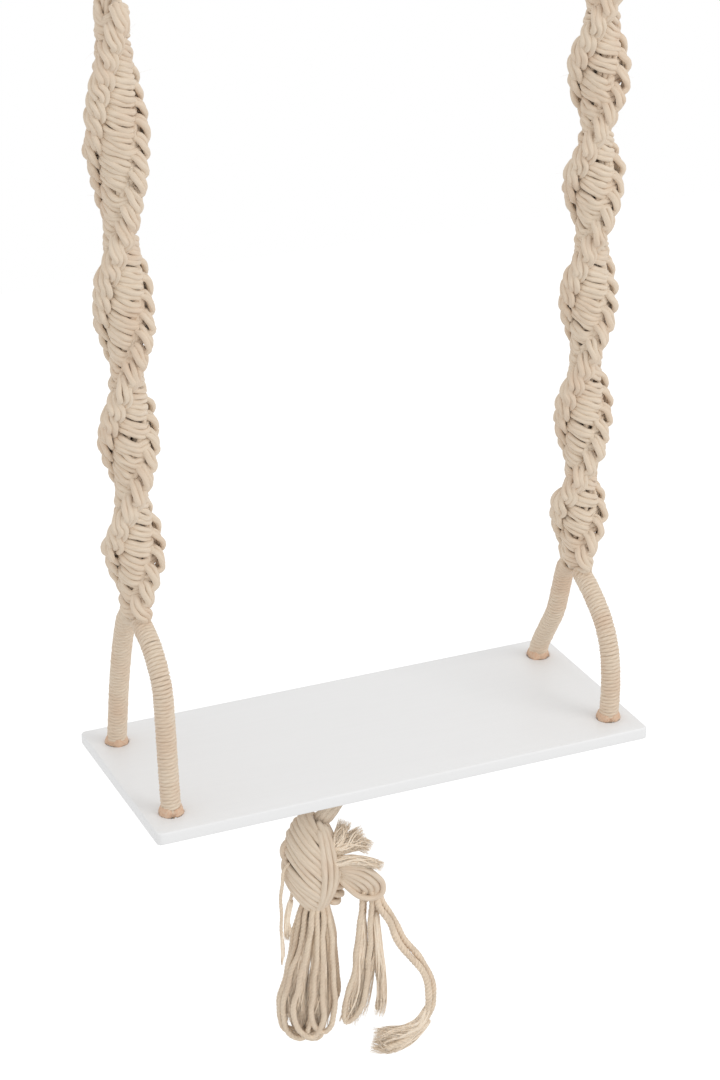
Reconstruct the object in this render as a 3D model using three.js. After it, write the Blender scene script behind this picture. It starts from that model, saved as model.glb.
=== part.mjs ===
// Hanging rope shelf: a painted board carried by two knotted cotton straps.
// Each strap is a spiral of half knots tied round a core, parts into two whipped legs,
// and its cords pass through the board's corner holes to one large knot and tassel below.
// Millimetres, +Z up, X along the board, Y from front to back.
// The origin is over the board's middle, on the line through the inner crowns of the two
// hanging loops.
import * as THREE from 'three';
import { mergeVertices } from 'three/addons/utils/BufferGeometryUtils.js';

// The board
const boardLength = 450;
const boardDepth = 195;
const boardThickness = 11;
const cornerRadius = 4;
const edgeEase = 1.6;
const holeBore = 20;
const holeEase = 0.8;
const holeFromEnd = 23;
const holeFromEdge = 30.5;
const holeFieldReach = 24;

// The straps
const boardDrop = 770;
const strapTopDrop = 104;
const leftApex = 150;
const rightApex = 119;
const rightLean = 11;
const knotPitch = 12.7;
const knotHalfWidth = 24;
const knotHalfDepth = 14.4;
const strapCoreRadius = 5.2;
const apexRise = 14;
const strapTopSpare = 13;
const openPivotClearance = 2;

// The working cord: half of its width and half of its thickness at the seven places of a half knot
const workingCordHalfWidth = 5.2;
const workingCordHalfThickness = 3.3;

// The legs
const legCoreRadius = 4.4;
const legHeadLean = 0.65;
const whippingThickness = 3;
const whippingWidthShare = 0.6;
const whippingGap = 1.2;
const whippingTurns = 17;
const whippingApexClear = 10.6;
const whippingFootClear = 5.5;

// The frayed ends of the whipping round each leg's foot
const frayHeight = 8.5;
const frayThickness = 3.4;
const frayBore = 15;
const frayLobe = 1.1;

// The hanging loops and the wraps that close them
const loopRope = 12;
const loopEyeHeight = 46;
const loopEyeWidth = 30;
const loopTailSpacing = 12.8;
const loopDomeRadius = 13;
const wrapCoreRadius = 9;
const wrapTurns = 6;
const wrapCordThickness = 3;
const wrapCordWidth = 3.1;

// The cords under the board, the knot and the tassel
const slingRadius = 4.5;
const slingSag = 1.6;
const gatherRadius = 16.5;
const gatherHeight = 10.5;
const gatherX = -10;
const gatherY = -5;
const knotCordRadius = 7;
const knotSpare = 0.45;
const knotX = -66.9;
const knotY = -34.8;
const knotTopDown = 61;
const knotHeight = 66;
const knotTurns = 1.5;
const knotLoopSpare = 0.6;
const tasselCord = 4.4;
const looseCord = 3.4;
const skeinPivotRadius = 9;
const sidePivotRadius = 8;
const turnedLoopHalfWidth = 5.4;
const turnedLoopHalfDepth = 3.6;
const tuftRoot = 2.4;
const tuftTipWidth = 6.5;
const tuftTipDepth = 2.6;

// What touching pieces keep between them, and how far a dome goes towards its pole
const seatGap = 0.35;
const domeReach = 0.92;

const fullTurn = 2 * Math.PI;
const X = new THREE.Vector3(1, 0, 0);
const Y = new THREE.Vector3(0, 1, 0);
const Z = new THREE.Vector3(0, 0, 1);

const cotton = new THREE.MeshStandardMaterial({ color: '#d5c3ab', roughness: 0.95, metalness: 0 });
const shadedCotton = new THREE.MeshStandardMaterial({ color: '#c6af93', roughness: 0.95, metalness: 0 });
const frayedCotton = new THREE.MeshStandardMaterial({ color: '#b99c8a', roughness: 1, metalness: 0 });
const whitePaint = new THREE.MeshStandardMaterial({ color: '#e9e9ea', roughness: 0.5, metalness: 0 });

const shelf = new THREE.Group();
shelf.name = 'hanging_rope_shelf';

function vec(x, y, z) {
  return new THREE.Vector3(x, y, z);
}

function addMesh(parent, name, geometry, material) {
  const mesh = new THREE.Mesh(geometry, material);
  mesh.name = name;
  parent.add(mesh);
  return mesh;
}

// Turns a closed skin the right way out by the sign of its volume
function facingOut(positions, index) {
  let volume = 0;
  for (let i = 0; i < index.length; i += 3) {
    const [a, b, c] = [index[i], index[i + 1], index[i + 2]].map((k) => positions[k]);
    volume += a.dot(b.clone().cross(c));
  }
  if (volume < 0) {
    for (let i = 0; i < index.length; i += 3) {
      [index[i], index[i + 1]] = [index[i + 1], index[i]];
    }
  }
  const geometry = new THREE.BufferGeometry().setFromPoints(positions);
  geometry.setIndex(index);
  return geometry;
}

// A closed skin over rings of equal count, with a flat cap on the first and the last ring
function skin(rings) {
  const sides = rings[0].length;
  const positions = rings.flat();
  const index = [];
  for (let i = 0; i < rings.length - 1; i += 1) {
    for (let j = 0; j < sides; j += 1) {
      const a = i * sides + j;
      const b = i * sides + ((j + 1) % sides);
      index.push(a, b, b + sides, a, b + sides, a + sides);
    }
  }
  const last = (rings.length - 1) * sides;
  for (let j = 1; j < sides - 1; j += 1) {
    index.push(0, j + 1, j);
    index.push(last, last + j, last + j + 1);
  }
  return facingOut(positions, index);
}

// Frames carried along a run of points without turning about it
function carriedFrames(points, firstNormal) {
  const frames = [];
  let normal = firstNormal.clone();
  points.forEach((point, i) => {
    const before = points[Math.max(i - 1, 0)];
    const after = points[Math.min(i + 1, points.length - 1)];
    const tangent = after.clone().sub(before).normalize();
    normal = normal.clone().addScaledVector(tangent, -normal.dot(tangent)).normalize();
    frames.push({ point, tangent, normal, side: tangent.clone().cross(normal) });
  });
  return frames;
}

// A ring about a frame, wide along its normal and deep along its side
function ring(frame, halfWide, halfDeep, sides, phase = 0) {
  const points = [];
  for (let j = 0; j < sides; j += 1) {
    const angle = (fullTurn * j) / sides + phase;
    points.push(frame.point.clone()
      .addScaledVector(frame.normal, halfWide * Math.cos(angle))
      .addScaledVector(frame.side, halfDeep * Math.sin(angle)));
  }
  return points;
}

// A solid tube along points, its half widths given by place from 0 to 1
function tube(points, halfWide, halfDeep, sides, firstNormal = X) {
  const frames = carriedFrames(points, firstNormal);
  return skin(frames.map((frame, i) => {
    const place = i / (frames.length - 1);
    return ring(frame, halfWide(place), halfDeep(place), sides);
  }));
}

function smoothRun(points, count, tension = 0.5) {
  return new THREE.CatmullRomCurve3(points, false, 'catmullrom', tension).getSpacedPoints(count);
}

// The board: eased all round, four eased holes, and its faces in three fields so that the
// plain middle is one clear rectangle between the two drilled ends.
const boardTop = -boardDrop;
const boardUnder = boardTop - boardThickness;
const holeX = boardLength / 2 - holeFromEnd;
const holeY = boardDepth / 2 - holeFromEdge;
const fieldX = holeX - holeFieldReach;

function outlineAt(inset) {
  const points = [];
  const cornerSteps = 3;
  const corners = [[1, -1, -Math.PI / 2], [1, 1, 0], [-1, 1, Math.PI / 2], [-1, -1, Math.PI]];
  corners.forEach(([sx, sy, from], corner) => {
    for (let k = 0; k <= cornerSteps; k += 1) {
      const angle = from + (k / cornerSteps) * (Math.PI / 2);
      points.push(new THREE.Vector2(
        sx * (boardLength / 2 - cornerRadius) + (cornerRadius - inset) * Math.cos(angle),
        sy * (boardDepth / 2 - cornerRadius) + (cornerRadius - inset) * Math.sin(angle),
      ));
    }
    if (corner === 1 || corner === 3) {
      points.push(new THREE.Vector2(sx * fieldX, sy * (boardDepth / 2 - inset)));
      points.push(new THREE.Vector2(-sx * fieldX, sy * (boardDepth / 2 - inset)));
    }
  });
  return points;
}

function holeAt(cx, cy, radius) {
  const steps = 20;
  const points = [];
  for (let k = 0; k < steps; k += 1) {
    const angle = (fullTurn * k) / steps;
    points.push(new THREE.Vector2(cx + radius * Math.cos(angle), cy + radius * Math.sin(angle)));
  }
  return points;
}

function band(triangles, lower, upper, inward) {
  const count = lower.length;
  for (let i = 0; i < count; i += 1) {
    const j = (i + 1) % count;
    const quad = [lower[i], lower[j], upper[j], upper[i]];
    const order = inward ? [0, 2, 1, 0, 3, 2] : [0, 1, 2, 0, 2, 3];
    order.forEach((k) => triangles.push(quad[k]));
  }
}

function boardGeometry() {
  const triangles = [];
  const lift = (points, z) => points.map((p) => vec(p.x, p.y, z));
  const slant = 1 - Math.SQRT1_2;
  const stack = [
    [edgeEase, boardUnder],
    [edgeEase * slant, boardUnder + edgeEase * slant],
    [0, boardUnder + edgeEase],
    [0, boardTop - edgeEase],
    [edgeEase * slant, boardTop - edgeEase * slant],
    [edgeEase, boardTop],
  ].map(([inset, z]) => lift(outlineAt(inset), z));
  for (let i = 0; i < stack.length - 1; i += 1) {
    band(triangles, stack[i], stack[i + 1], false);
  }
  const centres = [[-holeX, -holeY], [-holeX, holeY], [holeX, -holeY], [holeX, holeY]];
  centres.forEach(([cx, cy]) => {
    const walls = [
      [holeBore / 2 + holeEase, boardUnder],
      [holeBore / 2, boardUnder + holeEase],
      [holeBore / 2, boardTop - holeEase],
      [holeBore / 2 + holeEase, boardTop],
    ].map(([radius, z]) => lift(holeAt(cx, cy, radius), z));
    for (let i = 0; i < walls.length - 1; i += 1) {
      band(triangles, walls[i], walls[i + 1], true);
    }
  });
  const outline = outlineAt(edgeEase);
  const fields = [
    { edge: outline.filter((p) => p.x <= -fieldX), side: -1 },
    { edge: outline.filter((p) => Math.abs(p.x) <= fieldX), side: 0 },
    { edge: outline.filter((p) => p.x >= fieldX), side: 1 },
  ];
  fields.forEach(({ edge, side }) => {
    const holes = centres.filter(([cx]) => Math.sign(cx) === side)
      .map(([cx, cy]) => holeAt(cx, cy, holeBore / 2 + holeEase));
    const all = [edge, ...holes].flat();
    THREE.ShapeUtils.triangulateShape(edge, holes).forEach((face) => {
      const [a, b, c] = face.map((k) => all[k]);
      const turn = (b.x - a.x) * (c.y - a.y) - (b.y - a.y) * (c.x - a.x);
      const up = turn > 0 ? [a, b, c] : [a, c, b];
      lift(up, boardTop).forEach((p) => triangles.push(p));
      lift([...up].reverse(), boardUnder).forEach((p) => triangles.push(p));
    });
  });
  const geometry = new THREE.BufferGeometry().setFromPoints(triangles);
  return mergeVertices(geometry, seatGap / 100);
}

addMesh(shelf, 'shelf_board', boardGeometry(), whitePaint);

// The half knot. A working cord goes down the strap in half turns, and these seven places,
// as shares of the knot's half width, half depth and pitch, carry it from the end of its bar at
// the back, out at the right in front of the other cord's strand, down behind the place where
// that cord comes out next, and under it to the bar at the front, which rises to the left. So
// each cord hooks round the other at both sides. The next half turn is the same, turned round.
const halfKnotShares = [
  [0.18, 0.73, 1.38],
  [0.78, 0.02, 1.30],
  [0.83, 0.02, 0.90],
  [0.81, 0.71, 0.43],
  [0.61, 0.73, -0.17],
  [0.18, -0.73, -0.22],
  [-0.03, -0.76, 0.0],
];
const cordWidthShares = [0.8, 0.56, 0.54, 0.54, 0.56, 0.75, 1];
const cordThicknessShares = [0.86, 0.84, 0.84, 0.84, 0.84, 0.86, 0.92];

// The wide axis of a neck lies 66 degrees from the board's length, and each count is the
// number of half knots in which the spiral makes its next half turn, from the foot up.
const neckAngle = THREE.MathUtils.degToRad(66.4);
const leftHalfTurns = [7.5, 8, 9.2, 12.5, 12];
const rightHalfTurns = [6.5, 8.2, 8.2, 7.3, 7.8, 8];

function spiralAngle(halfTurns, knots) {
  let left = knots;
  let turned = 0;
  for (const count of halfTurns) {
    if (left <= count) {
      return neckAngle + Math.PI * (turned + left / count);
    }
    left -= count;
    turned += 1;
  }
  return neckAngle + Math.PI * (turned + left / halfTurns[halfTurns.length - 1]);
}

// Knot places count from the strap's foot; phase is 0 for one cord and 1 for the other
function workingCord(length, halfTurns, phase) {
  const knots = Math.floor(length / knotPitch);
  const places = halfKnotShares.length;
  const path = [];
  for (let k = -1; k <= knots; k += 1) {
    for (let i = 0; i < places; i += 1) {
      const spare = (k === -1 && i < places - 1) || (k === knots && i > 0);
      if (!spare) {
        path.push({ k, i });
      }
    }
  }
  const points = path.map(({ k, i }) => {
    const [sx, sy, sz] = halfKnotShares[i];
    const turn = (k + phase) % 2 === 0 ? 1 : -1;
    const fromFoot = knots - 1 - k + sz;
    const angle = spiralAngle(halfTurns, fromFoot);
    return vec(turn * sx * knotHalfWidth, turn * sy * knotHalfDepth, fromFoot * knotPitch)
      .applyAxisAngle(Z, angle);
  });
  const rings = points.map((point, n) => {
    const before = points[Math.max(n - 1, 0)];
    const after = points[Math.min(n + 1, points.length - 1)];
    const tangent = after.clone().sub(before).normalize();
    const out = vec(point.x, point.y, 0);
    out.addScaledVector(tangent, -out.dot(tangent)).normalize();
    const frame = { point, tangent, normal: tangent.clone().cross(out), side: out };
    const { i } = path[n];
    return ring(
      frame,
      workingCordHalfWidth * cordWidthShares[i],
      workingCordHalfThickness * cordThicknessShares[i],
      4,
    );
  });
  return { geometry: skin(rings), rings, knots };
}

// A dome of rings about a point of a core's axis, towards dir
function domeRings(centre, radius, dir, sides, upward) {
  const steps = 3;
  const rings = [];
  for (let k = 0; k <= steps; k += 1) {
    const angle = (k / steps) * (Math.PI / 2) * domeReach;
    const frame = {
      point: centre.clone().addScaledVector(dir, radius * Math.sin(angle)),
      normal: X,
      side: upward.clone().cross(X),
    };
    rings.push(ring(frame, radius * Math.cos(angle), radius * Math.cos(angle), sides));
  }
  return rings;
}

const strapTop = -strapTopDrop;
const straps = [
  { side: 'left', sign: -1, apex: leftApex, lean: 0, topSpare: 0, halfTurns: leftHalfTurns },
  { side: 'right', sign: 1, apex: rightApex, lean: rightLean, topSpare: openPivotClearance,
    halfTurns: rightHalfTurns },
];

// A strap stands on its foot, and its own Z axis leads from the foot to its top. The right one
// keeps a clearance at its top, the open pivot of the four-bar that the straps make in swaying.
function addStrap({ side, sign, apex, lean, topSpare, halfTurns }) {
  const foot = vec(sign * holeX, 0, boardTop + apex);
  const top = vec(sign * (holeX + lean), 0, strapTop - topSpare);
  const axis = top.clone().sub(foot);
  const length = axis.length();
  const group = new THREE.Group();
  group.position.copy(foot);
  group.quaternion.setFromUnitVectors(Z, axis.clone().normalize());
  shelf.add(group);

  const cordRun = length - apexRise - strapTopSpare;
  const cords = new THREE.Group();
  cords.position.z = apexRise;
  group.add(cords);
  const first = workingCord(cordRun, halfTurns, 0);
  const second = workingCord(cordRun, halfTurns, 1);
  addMesh(cords, `${side}_strap_cord_a`, first.geometry, cotton);
  addMesh(cords, `${side}_strap_cord_b`, second.geometry, shadedCotton);

  const sides = 8;
  const coreFoot = -strapCoreRadius;
  const straight = { point: vec(0, 0, coreFoot), normal: X, side: Y };
  const rings = [
    ring(straight, strapCoreRadius * Math.SQRT1_2, strapCoreRadius * Math.SQRT1_2, sides),
    ring({ ...straight, point: vec(0, 0, 0) }, strapCoreRadius, strapCoreRadius, sides),
    ...domeRings(vec(0, 0, length - strapCoreRadius), strapCoreRadius, Z, sides, Z),
  ];
  addMesh(group, `${side}_strap_core`, skin(rings), cotton);
  console.log(`${side} strap: ${first.knots} half knots in each cord`);
}

straps.forEach(addStrap);

// The legs. Each route is a list of places from the strap to the hole, as shares of the
// hole's distance from the middle and of the apex's height over the board.
const legRoutes = {
  left_front: [[0.52, 0.9], [0.82, 0.743], [0.895, 0.546], [0.93, 0.349], [0.96, 0.197], [1, 0]],
  left_back: [[0.36, 0.92], [0.56, 0.75], [0.8, 0.42], [0.91, 0.2], [1, 0]],
  right_front: [[0.45, 0.88], [0.78, 0.73], [0.96, 0.56], [1.03, 0.35], [1.03, 0.14], [1, 0]],
  right_back: [[0.26, 0.92], [0.38, 0.73], [0.52, 0.5], [0.74, 0.3], [0.93, 0.13], [1, 0.03]],
};

function legFrame(curve, place) {
  const point = curve.getPointAt(place);
  const tangent = curve.getTangentAt(place);
  return { point, tangent, normal: X, side: tangent.clone().cross(X) };
}

function nearestPlace(curve, wanted) {
  const steps = 400;
  for (let i = 0; i <= steps; i += 1) {
    if (wanted(curve.getPointAt(i / steps))) {
      return i / steps;
    }
  }
  return 1;
}

// Least distance between the facing edges of neighbouring turns
function leastTurnGap(rings, perTurn) {
  let least = Infinity;
  for (let i = 0; i + perTurn < rings.length; i += 1) {
    rings[i].forEach((p) => {
      rings[i + perTurn].forEach((q) => {
        least = Math.min(least, p.distanceTo(q));
      });
    });
  }
  return least;
}

// A cord wound round a core: a flat section carried on a helix about the core's own path
function winding(frameAt, from, to, turns, perTurn, radius, thickness, width) {
  const rings = [];
  const count = turns * perTurn;
  for (let k = 0; k <= count; k += 1) {
    const frame = frameAt(from + ((to - from) * k) / count);
    const angle = (fullTurn * k) / perTurn;
    const out = frame.normal.clone().multiplyScalar(Math.cos(angle))
      .addScaledVector(frame.side, Math.sin(angle));
    rings.push([[-1, -1], [1, -1], [1, 1], [-1, 1]].map(([u, v]) => frame.point.clone()
      .addScaledVector(out, radius + (u * thickness) / 2)
      .addScaledVector(frame.tangent, (v * width) / 2)));
  }
  return rings;
}

const legTurnSteps = 6;
const windingRadius = legCoreRadius + whippingGap + whippingThickness / 2;
const legPivotZ = boardTop - boardThickness / 2;

function addLeg(strap, end, sign) {
  const name = `${strap.side}_${end}`;
  const x = strap.sign * holeX;
  const shares = legRoutes[name];
  const headRun = vec(0, shares[0][0] * holeY - strapCoreRadius, (1 - shares[0][1]) * strap.apex);
  const start = strapCoreRadius + seatGap + legCoreRadius * legHeadLean * headRun.normalize().z;
  const points = [vec(x, sign * start, boardTop + strap.apex)];
  shares.forEach(([ys, zs]) => points.push(vec(x, sign * ys * holeY, boardTop + zs * strap.apex)));
  points.push(vec(x, sign * holeY, legPivotZ));
  const curve = new THREE.CatmullRomCurve3(points, false, 'centripetal');
  curve.arcLengthDivisions = 800;

  const coreRings = 26;
  const rings = [];
  for (let i = 0; i <= coreRings; i += 1) {
    const frame = legFrame(curve, i / coreRings);
    rings.push(ring(frame, legCoreRadius, legCoreRadius, legTurnSteps));
  }
  const footDome = domeRings(vec(x, sign * holeY, legPivotZ), legCoreRadius, Z.clone().negate(),
    legTurnSteps, Z.clone().negate());
  rings.push(...footDome.slice(1));
  addMesh(shelf, `${name}_leg_cord`, skin(rings), cotton);

  const headPlace = nearestPlace(curve, (p) => Math.abs(p.y) > whippingApexClear);
  const footPlace = nearestPlace(curve, (p) => p.z < boardTop + frayHeight + whippingFootClear);
  const turnPitch = (curve.getLength() * (footPlace - headPlace)) / whippingTurns;
  const turns = winding((s) => legFrame(curve, s), headPlace, footPlace, whippingTurns,
    legTurnSteps, windingRadius, whippingThickness, turnPitch * whippingWidthShare);
  addMesh(shelf, `${name}_leg_whipping`, skin(turns), shadedCotton);
  console.log(`${name} whipping: least gap to itself ${leastTurnGap(turns, legTurnSteps).toFixed(2)} mm`);
  addFray(name, x, sign * holeY);
}

// The frayed ends stand round the foot as one ragged cuff on the board
function addFray(name, x, y) {
  const sides = 12;
  const inner = frayBore / 2;
  const outer = inner + frayThickness;
  const profile = [
    [inner, seatGap],
    [outer + frayLobe, seatGap],
    [outer, frayHeight * 0.45],
    [outer - frayLobe, frayHeight],
    [inner, frayHeight],
  ];
  const rings = profile.map(([radius, z], row) => {
    const points = [];
    for (let j = 0; j < sides; j += 1) {
      const angle = (fullTurn * j) / sides;
      const ragged = row > 0 && row < 4 && j % 2 === 0 ? frayLobe : 0;
      points.push(vec(x + (radius + ragged) * Math.cos(angle), y + (radius + ragged) * Math.sin(angle),
        boardTop + z + (row === 3 ? ragged : 0)));
    }
    return points;
  });
  const index = [];
  const rows = rings.length;
  for (let i = 0; i < rows; i += 1) {
    for (let j = 0; j < sides; j += 1) {
      const a = i * sides + j;
      const b = i * sides + ((j + 1) % sides);
      const up = ((i + 1) % rows) * sides;
      const c = up + ((j + 1) % sides);
      const d = up + j;
      index.push(a, b, c, a, c, d);
    }
  }
  addMesh(shelf, `${name}_frayed_end`, facingOut(rings.flat(), index), frayedCotton);
}

straps.forEach((strap) => {
  addLeg(strap, 'front', -1);
  addLeg(strap, 'back', 1);
});

// The hanging loops: one cord bent to an eye, its two tails standing on the wrap's dome
const loopTailEnd = -(loopEyeHeight + loopRope / 2);
const swingPivotZ = loopTailEnd - seatGap - loopDomeRadius;
const wrapFoot = strapTop + seatGap;

function addHanger({ side, sign, lean }) {
  const x = sign * (holeX + lean);
  const tailY = loopTailSpacing / 2;
  const wideY = (loopEyeWidth + loopRope) / 2;
  const crown = loopRope / 2;
  const route = [
    [tailY, loopTailEnd],
    [tailY, loopTailEnd + loopRope * 0.35],
    [tailY, loopTailEnd + loopRope * 0.7],
    [tailY, loopTailEnd + loopRope * 1.05],
    [wideY * 0.8, crown - loopEyeHeight * 0.62],
    [wideY, crown - loopEyeHeight * 0.34],
    [wideY * 0.72, crown - loopEyeHeight * 0.08],
    [0, crown],
  ];
  const half = route.map(([y, z]) => vec(x, y, z));
  const other = route.slice(0, -1).reverse().map(([y, z]) => vec(x, -y, z));
  const run = smoothRun([...half, ...other], 22);
  addMesh(shelf, `${side}_hanging_loop`,
    tube(run, () => loopRope / 2, () => loopRope / 2, 7), cotton);

  // The wrap's core: a dome under the loop, then a plain bundle down to the strap
  const bodyTop = swingPivotZ;
  const core = [
    ring({ point: vec(x, 0, wrapFoot), normal: X, side: Y }, wrapCoreRadius, wrapCoreRadius, 8),
    ring({ point: vec(x, 0, bodyTop - loopDomeRadius + wrapCoreRadius), normal: X, side: Y },
      wrapCoreRadius, wrapCoreRadius, 8),
    ...domeRings(vec(x, 0, bodyTop), loopDomeRadius, Z, 8, Z),
  ];
  addMesh(shelf, `${side}_loop_bundle`, skin(core), cotton);

  const perTurn = 8;
  const radius = wrapCoreRadius + seatGap + wrapCordThickness / 2;
  const low = wrapFoot + wrapCordWidth;
  const high = bodyTop - loopDomeRadius + wrapCoreRadius - wrapCordWidth;
  const frameAt = (s) => ({
    point: vec(x, 0, high + (low - high) * s),
    tangent: Z.clone().negate(),
    normal: X,
    side: Y,
  });
  const turns = winding(frameAt, 0, 1, wrapTurns, perTurn, radius, wrapCordThickness, wrapCordWidth);
  addMesh(shelf, `${side}_loop_wrap`, skin(turns), shadedCotton);
  console.log(`${side} loop wrap: least gap to itself ${leastTurnGap(turns, perTurn).toFixed(2)} mm`);
}

straps.forEach(addHanger);

// The cords under the board. Each sling bends out of its hole and runs along the underside
// to the gather, where the four become the one thick cord of the knot.
const slingZ = boardUnder - seatGap - slingRadius;
const gather = vec(gatherX, gatherY, 0);

function addSling(strap, end, sign) {
  const hole = vec(strap.sign * holeX, sign * holeY, 0);
  const way = gather.clone().sub(hole).setZ(0);
  const run = way.length() - gatherRadius * Math.cos(Math.PI / 8) - 2 * seatGap;
  way.normalize();
  const head = legPivotZ - legCoreRadius - seatGap;
  const bend = slingRadius * 2;
  const places = [
    hole.clone().setZ(head),
    hole.clone().setZ((head + boardUnder) / 2 - slingRadius / 2),
    hole.clone().addScaledVector(way, bend * 0.45).setZ(slingZ + slingRadius * 0.35),
    hole.clone().addScaledVector(way, bend * 1.2).setZ(slingZ),
    hole.clone().addScaledVector(way, bend * 2.4).setZ(slingZ),
    ...[0.3, 0.5, 0.75, 1].map((share) => hole.clone().addScaledVector(way, run * share)
      .setZ(slingZ - slingSag * Math.sin(Math.PI * share))),
  ];
  addMesh(shelf, `${strap.side}_${end}_sling`,
    tube(places.reverse(), () => slingRadius, () => slingRadius, 6), shadedCotton);
}

straps.forEach((strap) => {
  addSling(strap, 'front', -1);
  addSling(strap, 'back', 1);
});

// The overhand knot, as one cord: a first pass down in one and a half turns, a turn outside
// that climbs back over the front, and a second pass down between the turns of the first.
const knotAxis = vec(knotX, knotY, 0);
const knotEntry = Math.atan2(gatherY - knotY, gatherX - knotX);
const passRadius = knotCordRadius + knotSpare;
const outerRadius = passRadius + 2 * knotCordRadius + knotLoopSpare;

function aboutKnot(angle, radius, down) {
  return vec(
    knotAxis.x + radius * Math.cos(angle),
    knotAxis.y + radius * Math.sin(angle),
    boardTop - down,
  );
}

function pass(start) {
  const steps = 12;
  const places = [];
  for (let k = 0; k <= steps; k += 1) {
    const angle = start + (fullTurn * knotTurns * k) / steps;
    places.push(aboutKnot(angle, passRadius, knotTopDown + (knotHeight * k) / steps));
  }
  return places;
}

// Places about the tassel in millimetres: across, away and down from the board's top, with
// across turned to face the shelf's front left corner. They were measured on a knot whose lower
// end is 127 mm down, and grow with it.
const tasselX = -55;
const tasselY = -40;
const tasselTurn = THREE.MathUtils.degToRad(-23.7);

const tasselScale = (knotTopDown + knotHeight) / 127;

function hung(place) {
  const [across, away, down] = place.map((reach) => reach * tasselScale);
  return vec(
    tasselX + across * Math.cos(tasselTurn) - away * Math.sin(tasselTurn),
    tasselY + across * Math.sin(tasselTurn) + away * Math.cos(tasselTurn),
    boardTop - down,
  );
}

const skeinPivotPlace = [-9, 0, 149];
const sidePivotPlace = [38, 0, 131];
const skeinPivot = hung(skeinPivotPlace);
const sidePivot = hung(sidePivotPlace);

const bottomDown = knotTopDown + knotHeight;
const halfTurn = Math.PI;
const knotRoute = [
  vec(gatherX - 2, gatherY - 1, boardUnder - 20),
  vec(gatherX - 7, gatherY - 4, boardUnder - 26),
  vec(gatherX - 18, gatherY - 13, boardUnder - 33),
  vec(gatherX - 32, gatherY - 25, boardUnder - 37),
  aboutKnot(knotEntry - 0.6, passRadius * 2, knotTopDown - 7),
  ...pass(knotEntry),
  aboutKnot(knotEntry + halfTurn + 0.32, passRadius * 1.7, bottomDown + 7),
  aboutKnot(knotEntry + halfTurn + 0.58, outerRadius, bottomDown - 2),
  aboutKnot(knotEntry + halfTurn + 0.3, outerRadius, bottomDown - knotHeight * 0.27),
  aboutKnot(knotEntry + halfTurn, outerRadius, bottomDown - knotHeight / 2),
  aboutKnot(knotEntry + halfTurn - 0.3, outerRadius, bottomDown - knotHeight * 0.73),
  aboutKnot(knotEntry + halfTurn - 0.6, outerRadius, knotTopDown + 2),
  aboutKnot(knotEntry + halfTurn - 0.4, passRadius * 1.8, knotTopDown - 7.5),
  ...pass(knotEntry + halfTurn),
];
const knotExit = skeinPivot.clone().setZ(skeinPivot.z + skeinPivotRadius + seatGap);
knotRoute.push(
  knotExit.clone().setZ(knotExit.z + knotCordRadius * 1.2),
  knotExit.clone().setZ(knotExit.z + knotCordRadius * 0.6),
  knotExit,
);

function knotGeometry() {
  const curve = new THREE.CatmullRomCurve3(knotRoute, false, 'centripetal');
  curve.arcLengthDivisions = 600;
  const steps = 50;
  const frames = carriedFrames([...curve.getSpacedPoints(steps).slice(0, -1),
    knotExit.clone().setZ(knotExit.z + knotCordRadius * 0.3), knotExit], X);
  const gatherTop = boardUnder - seatGap;
  const gatherRings = [
    [gatherTop, gatherRadius],
    [gatherTop - gatherHeight, gatherRadius * 0.97],
    [gatherTop - gatherHeight * 1.4, (gatherRadius + knotCordRadius) / 2],
  ].map(([z, radius]) => {
    const level = { point: vec(gatherX, gatherY, z), normal: X, side: Y.clone().negate() };
    return ring(level, radius, radius, 8);
  });
  return skin([...gatherRings, ...frames.map((frame) => ring(frame, knotCordRadius, knotCordRadius, 8))]);
}

addMesh(shelf, 'tassel_knot', knotGeometry(), cotton);

// A ball of cord on which a skein turns, under what carries it
function addPivot(name, centre, radius) {
  const rows = 4;
  const sides = 8;
  const rings = [];
  for (let k = 0; k <= rows; k += 1) {
    const angle = (Math.PI / 2) * domeReach * ((2 * k) / rows - 1);
    const frame = { point: centre.clone().setZ(centre.z + radius * Math.sin(angle)), normal: X, side: Y };
    rings.push(ring(frame, radius * Math.cos(angle), radius * Math.cos(angle), sides));
  }
  addMesh(shelf, name, skin(rings), shadedCotton);
}

addPivot('skein_throat', skeinPivot, skeinPivotRadius);
addPivot('side_skein_throat', sidePivot, sidePivotRadius);

// A hanging cord: its route in tassel places, its two ends squared to the ball that carries it
function addStrand(name, places, diameter, steps, ball = null, bothEnds = false) {
  const route = places.map(hung);
  const seat = (point, reach) => {
    const out = point.clone().sub(ball.centre).normalize();
    return ball.centre.clone().addScaledVector(out, ball.radius + seatGap + reach);
  };
  const head = route[0];
  const tail = route[route.length - 1];
  if (ball) {
    route.splice(0, 1, seat(head, diameter * 0.6), seat(head, diameter * 1.4));
    if (bothEnds) {
      route.splice(-1, 1, seat(tail, diameter * 1.4), seat(tail, diameter * 0.6));
    }
  }
  const points = new THREE.CatmullRomCurve3(route, false, 'centripetal').getSpacedPoints(steps);
  if (ball) {
    points.unshift(seat(head, 0));
    if (bothEnds) {
      points.push(seat(tail, 0));
    }
  }
  const half = () => diameter / 2;
  addMesh(shelf, name, tube(points, half, half, 5, X), cotton);
}

const skeinBall = { centre: skeinPivot, radius: skeinPivotRadius };
const sideBall = { centre: sidePivot, radius: sidePivotRadius };

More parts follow.
